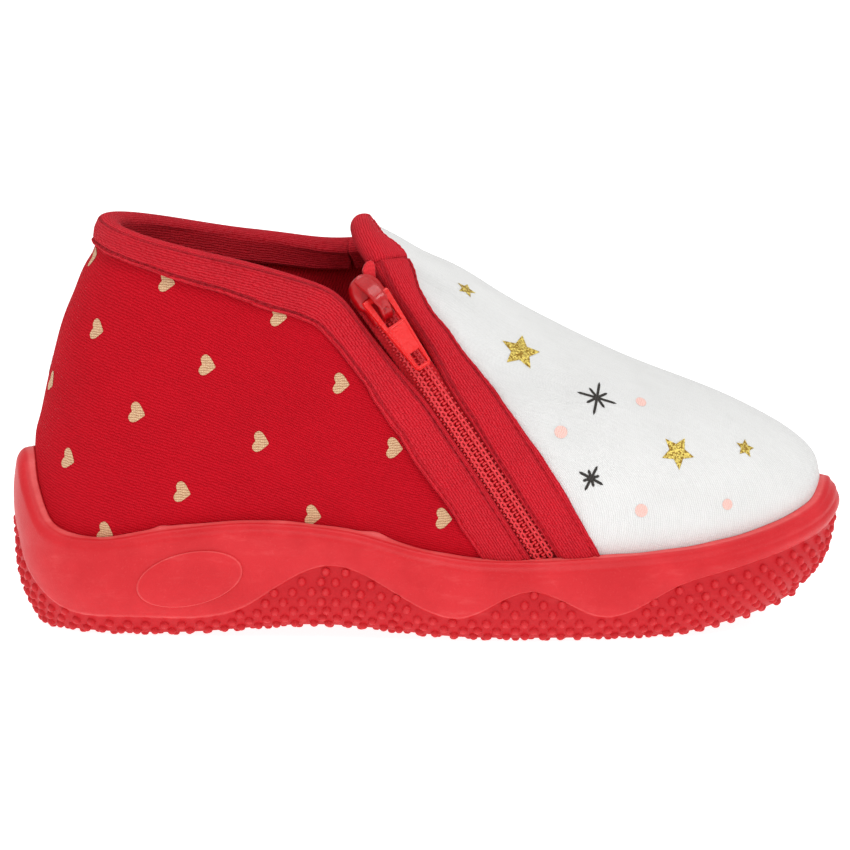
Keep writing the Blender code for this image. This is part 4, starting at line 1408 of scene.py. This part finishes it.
def make_sole():
    angle = ring_angles(RING)
    top = read_edge(SOLE_TOP, angle)
    wave = read_edge(WAVE, angle)
    run = lengths(sole_side(angle, top)[:, None], 0)[:, 0]
    flash = 0.22 + 0.1 * np.sin(run / 2.3) * np.sin(run / 7.1) + 0.12 * bump(np.sin(run / 19.0) - 1, 0.15)
    flash = flash + 0.7 * bump(wrap(angle) - 99, 1.6) + 0.35 * bump(wrap(angle) - 133, 1.2)
    swell = MIDDLE_SWELL + TOE_SWELL * bump(wrap(angle), 34)
    away_from_heel = smooth(165, 120, abs(wrap(angle)))
    rows = [level(angle, top - 5.0, np.full(angle.shape, GAP))]
    for up, out in ((0.0, 0.12), (1.0, 0.1), (1.0, 0.45), (0.3, 0.75)):
        rows.append(level(angle, top + flash * up, np.full(angle.shape, out)))
    for drop in LIP_DROPS:
        groove = -0.28 * bump(drop - 1.15, 0.45) + 0.1 * bump(drop - 0.25, 0.3)
        rows.append(sole_side(angle, top - drop, groove * away_from_heel))
    for share in np.linspace(0, 1, 22)[1:]:
        height = (top - LIP_ROUND) + share * (wave - top + LIP_ROUND)
        rows.append(sole_side(angle, height, swell * np.sin(np.pi * share)))
    for drop, stepped in LEDGE:
        rows.append(sole_side(angle, wave - drop, 0.0, stepped))
    drop, stepped = LEDGE[-1]
    for share in np.linspace(0, 1, 12)[1:]:
        height = (wave - drop) + share * (lowest(angle) - wave + drop)
        rows.append(sole_side(angle, height, 0.0, stepped))
    rows = np.array(rows)
    under = towards_spine(rows[-1], lambda x: sole_bottom(x) + STUD_ROOM, (0.1, 0.35, 0.7, 1.0))
    inside = towards_spine(rows[0], sole_floor, (1.0, 0.6, 0.2, 0.0))
    points = np.concatenate([inside, rows, under])
    first, band, zone = len(inside) + 1, len(inside) + 15, len(inside) + 36
    # The marks hold painted light: pale for painted highlights, deep for painted shade.
    pale, deep = np.zeros(points.shape[:2]), np.zeros(points.shape[:2])
    # Painted shade over the studded zone below the wave and over the underside, which are also rougher.
    deep[zone + 2 :] = 1.0
    # Painted highlight along the wave's step edge.
    pale[zone - 1 : zone + 1] = 0.6
    # Painted highlight along the lip's flash.
    pale[first + 2 : first + 5] = 0.7
    # Painted highlight on the band below the lip, towards the heel.
    fade = np.sin(np.linspace(0, np.pi, 20))[:, None]
    pale[band - 8 : band + 12] += 0.22 * fade * smooth(120, 165, abs(wrap(angle)))
    bm = bmesh.new()
    loft(bm, points, marks={"pale": pale, "deep": deep})
    bmesh.ops.recalc_face_normals(bm, faces=bm.faces[:])
    tree = BVHTree.FromBMesh(bm)
    add_boss(bm)
    piece("sole_cup", bm, (RUBBER,), "sole", "sole")
    return tree


def side_point(x, z):
    """Points on the outer side of the sole at places in the side view."""
    low, high = np.full(x.shape, 20.0), np.full(x.shape, 170.0)
    for _ in range(36):
        angle = (low + high) / 2
        ahead = sole_side(angle, z)[..., 0] > x
        low, high = np.where(ahead, angle, low), np.where(ahead, high, angle)
    return sole_side(angle, z)


def ring_marks(rings, count):
    """How pale each ring's points are: a painted highlight."""
    return np.array([[ring.pale] * count for ring in rings])


def add_boss(bm):
    """Oval pad on the heel's outer side, with a crisp rounded edge and a painted highlight along it."""
    turn = np.linspace(0, 2 * np.pi, 97)
    points = []
    for ring in BOSS_RINGS:
        along, up = ring.size * BOSS_HALF[0] * np.cos(turn), ring.size * BOSS_HALF[1] * np.sin(turn)
        x = BOSS_MIDDLE[0] + along * math.cos(BOSS_TILT) - up * math.sin(BOSS_TILT)
        z = BOSS_MIDDLE[1] + along * math.sin(BOSS_TILT) + up * math.cos(BOSS_TILT)
        points.append(side_point(x, z) + np.array([0, -ring.raised * BOSS_RAISE / BOSS_EDGE, 0]))
    loft(bm, np.array(points), marks={"pale": ring_marks(BOSS_RINGS, len(turn))})
    close_ends(bm)


def dome(bm, base, out):
    """One moulded stud on a base point, pointing outwards."""
    radius, height = STUD
    upright = abs(out[2]) < 0.9
    aside = unit(np.cross(out, np.array([0.3, 0.1, 1.0] if upright else [1.0, 0, 0])))
    other = np.cross(out, aside)
    turn = np.linspace(0, 2 * np.pi, 11)[:, None]
    circle = aside * np.cos(turn) + other * np.sin(turn)
    rows = []
    for ring in STUD_RINGS:
        rows.append(base + circle * radius * ring.size + out * height * ring.raised)
    points = np.array(rows)
    points[..., 2] = np.maximum(points[..., 2], 0.0)
    # Painted shade as in the studded zone, with its rougher finish.
    deep = np.full(points.shape[:2], 0.6)
    loft(bm, points, marks={"pale": ring_marks(STUD_RINGS, len(turn)), "deep": deep})


def make_studs(tree):
    """Studs in staggered rows that follow the bottom edge up to the wave, and all over the underside."""
    bm = bmesh.new()
    angle = ring_angles(RING)
    edge = sole_side(angle, lowest(angle), 0.0, 1.0)
    run = lengths(edge[:, None], 0)[:, 0]
    shares = np.linspace(0, 1, 60)[:, None]
    low, wave = lowest(angle), read_edge(WAVE, angle)
    heights = low + (wave - low) * shares
    profile = sole_side(np.broadcast_to(angle, heights.shape), heights, 0.0, 1.0)
    climb = lengths(profile, 0)
    count = round(run[-1] / STUD_PITCH)
    for row in range(STUD_LAYERS):
        height_up = FIRST_LAYER + STUD_ROWS * row
        for number in range(count):
            at = (number + 0.5 * (row % 2) + STUD_STAGGER) / count * run[-1]
            i = min(int(np.searchsorted(run, at % run[-1])), RING)
            if climb[-1, i] < height_up + STUD_CLEAR:
                continue
            height = float(np.interp(height_up, climb[:, i], heights[:, i]))
            turn = float(angle[i])
            base = sole_side(np.array(turn), np.array(height), 0.0, 1.0)
            ahead = sole_side(np.array(turn + 0.3), np.array(height), 0.0, 1.0) - base
            above = sole_side(np.array(turn), np.array(height + 0.15), 0.0, 1.0) - base
            dome(bm, base, unit(np.cross(above, ahead)))
    outline = edge[:-1, :2]
    rows = np.arange(outline[:, 0].min() + 2, outline[:, 0].max() - 1, STUD_PITCH * 0.87)
    for number, x in enumerate(rows):
        crossing = np.sort(outline[np.argsort(np.abs(outline[:, 0] - x))[:6], 1])
        inner = np.arange(crossing[0] + 1.6 + (number % 2) * STUD_PITCH / 2, crossing[-1] - 1.2, STUD_PITCH)
        for y in inner:
            found = touch(tree, np.array([x, y, UNDER_FLOOR]), np.array([0.0, 0.0, 1.0]))
            if found:
                dome(bm, *found)
    piece("sole_studs", bm, (RUBBER,), "sole")


INSOLE_EDGE = ((0.0, 0.0), (0.8, -0.1), (INSOLE - 0.8, -0.1), (INSOLE - 0.15, 0.35))  # height and inset


def make_insole():
    angle = ring_angles(160)
    low = floor_under(angle)

    def top(x):
        return sole_floor(x) + GAP + INSOLE

    rings = []
    for up, inset in INSOLE_EDGE:
        lift = GAP + up
        wall = form(angle, low + lift, -WALL - 2 * GAP - inset)
        wall[:, 2] = sole_floor(wall[:, 0]) + lift
        rings.append(wall)
    over = towards_spine(rings[-1], top, (0.04, 0.15, 0.4, 0.7, 1.0))
    under = towards_spine(rings[0], lambda x: sole_floor(x) + GAP, (1.0, 0.5, 0.0))
    points = np.concatenate([under, np.array(rings), over])
    bm = bmesh.new()
    loft(bm, points, points[..., :2])
    made = piece("insole_pad", bm, (SOCK,), "insole", "insole")


# Print

HEART_SOFTENING = 6
HEART_SIZE = (4.15, 3.1)  # across its lobes, and from notch side to tip
PRINT_LIFT = 0.07
INK_LINE = 0.55  # width of an ink line
INK_LAYER = 0.01  # crossed lines lie this far over each other
RAY_START = 200.0  # the camera's rays start this far outside the shoe
ABOVE, BELOW = 6.0, 5.0  # a print is dropped from this height, and doesn't reach lower than this
SEAM_CLEAR = 3.0  # hearts on the inner side end this far behind the seam
# Places of the hearts on the zip side, in the photograph
HEARTS = (
    (169, 283), (280, 317), (99, 330), (209, 366), (342, 384), (139, 413), (262, 442), (70, 459),
    (395, 448), (184, 492), (314, 515), (107, 532), (444, 518), (52, 382), (95, 257),
)
HEART_SPAN = (60.0, 450.0)
HEART_TILT = (17.0, 4.0)  # degrees below level at either end of that span
HEART_STEP = (50, 38)  # the inner side's hearts lie half a repeat further on
HEEL_HEARTS = ((181, 51), (196, 66), (192, 40))  # angle and height


def photo_ray(px, py):
    """A point and a direction: what the camera sees at a pixel of the photograph."""
    x = (px - PHOTO_ZERO[0]) / PX_PER_MM
    z = (PHOTO_ZERO[1] - py) / PX_PER_MM / math.cos(ELEVATION)
    ahead = np.array([0, math.cos(ELEVATION), -math.sin(ELEVATION)])
    return np.array([x, 0, z]) - ahead * RAY_START, ahead


def touch(tree, start, ahead):
    """Where a ray meets a surface, in millimetres, and which way it faces there."""
    place, facing, _, _ = tree.ray_cast(Vector(start) * MM, Vector(ahead))
    return None if place is None else (np.array(place) / MM, np.array(facing))


def lay_print(bm, tree, spot, right, flat, lift=PRINT_LIFT):
    """Lays flat points (rows, columns, 2), in millimetres, on the upper round a spot."""
    centre, facing = spot
    right = unit(right - facing * (right @ facing))
    up = np.cross(facing, right)
    world = centre + flat[..., :1] * right + flat[..., 1:] * up + facing * ABOVE
    points = np.empty(world.shape)
    for index in np.ndindex(*world.shape[:2]):
        found = touch(tree, world[index], -facing)
        if found is None or (found[0] - centre) @ facing < -BELOW:
            return
        points[index] = found[0] + found[1] * lift
    loft(bm, points, flat)


def filled(outline, rings=5):
    """Rings of points from the middle of an outline to its edge."""
    return outline * np.linspace(0, 1, rings)[:, None, None]


def heart_outline():
    """A heart on its side with a blunt tip, its lobes to the left."""
    turn = np.linspace(0, 2 * np.pi, 121)
    tall = 13 * np.cos(turn) - 5 * np.cos(2 * turn) - 2 * np.cos(3 * turn) - np.cos(4 * turn)
    shape = np.stack([-tall, 16 * np.sin(turn) ** 3], -1)
    run = lengths(shape[:, None], 0)[:, 0]
    even = np.linspace(0, run[-1], 45)
    ring = np.stack([np.interp(even, run, shape[:, n]) for n in (0, 1)], -1)[:-1]
    for _ in range(HEART_SOFTENING):
        ring = (np.roll(ring, 1, 0) + 2 * ring + np.roll(ring, -1, 0)) / 4
    middle = (ring.min(0) + ring.max(0)) / 2
    ring = (ring - middle) / np.ptp(ring, axis=0) * HEART_SIZE[::-1]
    return np.concatenate([ring, ring[:1]])


def make_hearts(tree):
    bm = bmesh.new()
    outline = filled(heart_outline())
    for px, py in HEARTS:
        tilt = math.radians(np.interp(px, HEART_SPAN, HEART_TILT))
        right = np.array([math.cos(tilt), 0, -math.sin(tilt)])
        spot = touch(tree, *photo_ray(px, py))
        if spot:
            lay_print(bm, tree, spot, right, outline)
        start, ahead = photo_ray(px + HEART_STEP[0], py + HEART_STEP[1])
        spot = touch(tree, start * (1, -1, 1), ahead * (1, -1, 1))
        if spot and spot[1][1] > 0.3 and behind_inner_seam(spot[0]):
            lay_print(bm, tree, spot, -right * (1, 1, -1), outline)
    for turn, height in HEEL_HEARTS:
        place, facing = form(np.array(turn), np.array(height)), normal(np.array(turn), np.array(height))
        spot = touch(tree, place + facing * ABOVE, -facing)
        lay_print(bm, tree, spot, np.array([0, -0.97, -0.25]), outline)
    piece("heart_prints", bm, (HEART,), "upper", outwards=False)


def behind_inner_seam(place):
    """True on the quarter's side of the inner seam, clear of it."""
    return place[0] < raw_form(-zip_angle(place[2]), place[2])[0] - SEAM_CLEAR


def star_outline(size, points=5, depth=0.48):
    turn = np.linspace(0, 2 * np.pi, 2 * points * 4 + 1)
    corner = np.arange(2 * points + 1) * np.pi / points
    reach = np.where(np.arange(2 * points + 1) % 2, depth, 1.0) * size / 2
    x, y = np.interp(turn, corner, reach * np.sin(corner)), np.interp(turn, corner, reach * np.cos(corner))
    return np.stack([x, y], -1)


def dot_outline(size):
    turn = np.linspace(0, -2 * np.pi, 33)
    return np.stack([np.cos(turn), np.sin(turn)], -1) * size / 2


def stroke(path, width):
    """A line of ink with round ends along a path of flat points."""
    path = along_curve(path, 14)
    ahead = np.gradient(path, axis=0)
    ahead = ahead / np.linalg.norm(ahead, axis=-1, keepdims=True)
    side = np.stack([-ahead[:, 1], ahead[:, 0]], -1)
    share = np.linspace(-1, 1, 14)
    half = width / 2 * np.sqrt(np.clip(1 - np.abs(share) ** 14, 0.02, 1))
    return np.stack([path + side * (half * edge)[:, None] for edge in (-1, 0, 1)])


def twinkle(size, width):
    """Crossed lines, the upright pair longer."""
    lines = []
    for turn, reach in ((0, 0.62), (90, 0.62), (45, 0.4), (135, 0.4)):
        ahead = np.array([math.cos(math.radians(turn)), math.sin(math.radians(turn))]) * size * reach
        lines.append(stroke([-ahead, ahead * 0.01, ahead], width))
    return lines


# Loose motifs on the vamp, at places of the side view, or mirrored on the inner side
Motif = namedtuple("Motif", "kind px py size turn inner")
MOTIFS = (
    Motif("star", 520, 352, 8.4, 12, False),
    Motif("star", 676, 452, 7.2, -14, False),
    Motif("star", 744, 448, 4.2, 20, False),
    Motif("star", 466, 290, 4.4, 0, False),
    Motif("twinkle", 596, 398, 6.6, 8, False),
    Motif("twinkle", 590, 478, 4.4, -10, False),
    Motif("dot", 560, 432, 2.6, 0, False),
    Motif("dot", 640, 510, 2.6, 0, False),
    Motif("dot", 726, 504, 2.2, 0, False),
    Motif("dot", 640, 402, 2.2, 0, False),
    Motif("star", 560, 372, 7.6, -10, True),
    Motif("star", 690, 440, 6.4, 16, True),
    Motif("star", 480, 300, 4.4, 0, True),
    Motif("twinkle", 628, 430, 6.2, 8, True),
    Motif("twinkle", 540, 452, 4.4, -6, True),
    Motif("dot", 600, 500, 2.6, 0, True),
    Motif("dot", 726, 488, 2.4, 0, True),
    Motif("dot", 592, 356, 2.2, 0, True),
)


def make_vamp_print(tree):
    """Scattered glitter stars, fine twinkles and pale dots."""
    meshes = {kind: bmesh.new() for kind in ("star", "twinkle", "dot")}
    for motif in MOTIFS:
        start, ahead = photo_ray(motif.px, motif.py)
        mirror = np.array([1, -1 if motif.inner else 1, 1])
        spot = touch(tree, start * mirror, ahead * mirror)
        if spot is None:
            continue
        turn = math.radians(motif.turn)
        right = np.array([math.cos(turn), 0, math.sin(turn) - 0.35]) * mirror[1]
        if motif.kind == "star":
            shapes = [filled(star_outline(motif.size)[::-1])]
        elif motif.kind == "dot":
            shapes = [filled(dot_outline(motif.size)[::-1])]
        else:
            shapes = twinkle(motif.size, INK_LINE)
        for number, shape in enumerate(shapes):
            lay_print(meshes[motif.kind], tree, spot, right, shape, PRINT_LIFT + INK_LAYER * number)
    for kind, look in (("star", GLITTER), ("twinkle", BLACK_INK), ("dot", PINK_INK)):
        piece(f"vamp_{kind}s", meshes[kind], (look,), "upper", outwards=False)


# Floor, light and camera

FLOOR_HALF = 6.0
AIM = (0.0, 0.0, 0.04)
SKY = 0.62
Lamp = namedtuple("Lamp", "name place size watts")
LAMPS = (
    Lamp("key_light", (0.35, -0.75, 0.75), 0.25, 1.7),
    Lamp("side_light", (-0.8, -0.5, 0.5), 0.6, 0.4),
    Lamp("top_light", (-0.1, -0.25, 1.0), 0.6, 3.8),
    Lamp("toe_light", (0.85, -0.3, 0.6), 0.3, 0.5),
)
CAMERA_AWAY = 4.0
SENSOR = 36.0


def make_stage():
    bm = bmesh.new()
    bmesh.ops.create_grid(bm, x_segments=1, y_segments=1, size=FLOOR_HALF)
    mesh = bpy.data.meshes.new("floor")
    bm.to_mesh(mesh)
    bm.free()
    look = Look("pale_floor", Roughness=0.9, Specular_IOR_Level=0.1, Emission_Strength=0.95)
    clouds = look.noise(look.place(), 0.4, 2.0)
    grey = look.mix(clouds, srgb(186, 186, 186), srgb(190, 190, 190))
    white = look.mix(clouds, srgb(252, 252, 252), srgb(255, 255, 255))
    mesh.materials.append(look.finish(Base_Color=grey, Emission_Color=white))
    floor = bpy.data.objects.new("floor", mesh)
    bpy.context.scene.collection.objects.link(floor)

    world = bpy.data.worlds.new("studio")
    world.use_nodes = True
    sky = world.node_tree.nodes["Background"]
    sky.inputs["Color"].default_value = (1, 1, 1, 1)
    sky.inputs["Strength"].default_value = SKY
    bpy.context.scene.world = world
    for lamp in LAMPS:
        light = bpy.data.lights.new(lamp.name, "AREA")
        light.size = lamp.size
        light.energy = lamp.watts
        stand = bpy.data.objects.new(lamp.name, light)
        stand.location = lamp.place
        stand.rotation_euler = (Vector(AIM) - Vector(lamp.place)).to_track_quat("-Z", "Y").to_euler()
        bpy.context.scene.collection.objects.link(stand)
    bpy.context.scene.view_settings.view_transform = "Standard"


def make_camera():
    seen = PHOTO_SIDE / PX_PER_MM * MM
    camera = bpy.data.cameras.new("camera")
    camera.sensor_width = SENSOR
    camera.lens = SENSOR * CAMERA_AWAY / seen
    eye = bpy.data.objects.new("camera", camera)
    middle = PHOTO_SIDE / 2
    x = (middle - PHOTO_ZERO[0]) / PX_PER_MM
    z = (PHOTO_ZERO[1] - middle) / PX_PER_MM / math.cos(ELEVATION)
    back = Vector((0, -math.cos(ELEVATION), math.sin(ELEVATION)))
    eye.location = Vector((x, 0, z)) * MM + back * CAMERA_AWAY
    eye.rotation_euler = (-back).to_track_quat("-Z", "Y").to_euler()
    bpy.context.scene.collection.objects.link(eye)
    bpy.context.scene.camera = eye


upper_tree = make_upper()
make_bindings()
inner_seam()
make_tape()
make_coil()
make_slider()
make_studs(make_sole())
make_insole()
make_hearts(upper_tree)
make_vamp_print(upper_tree)
make_stage()
make_camera()
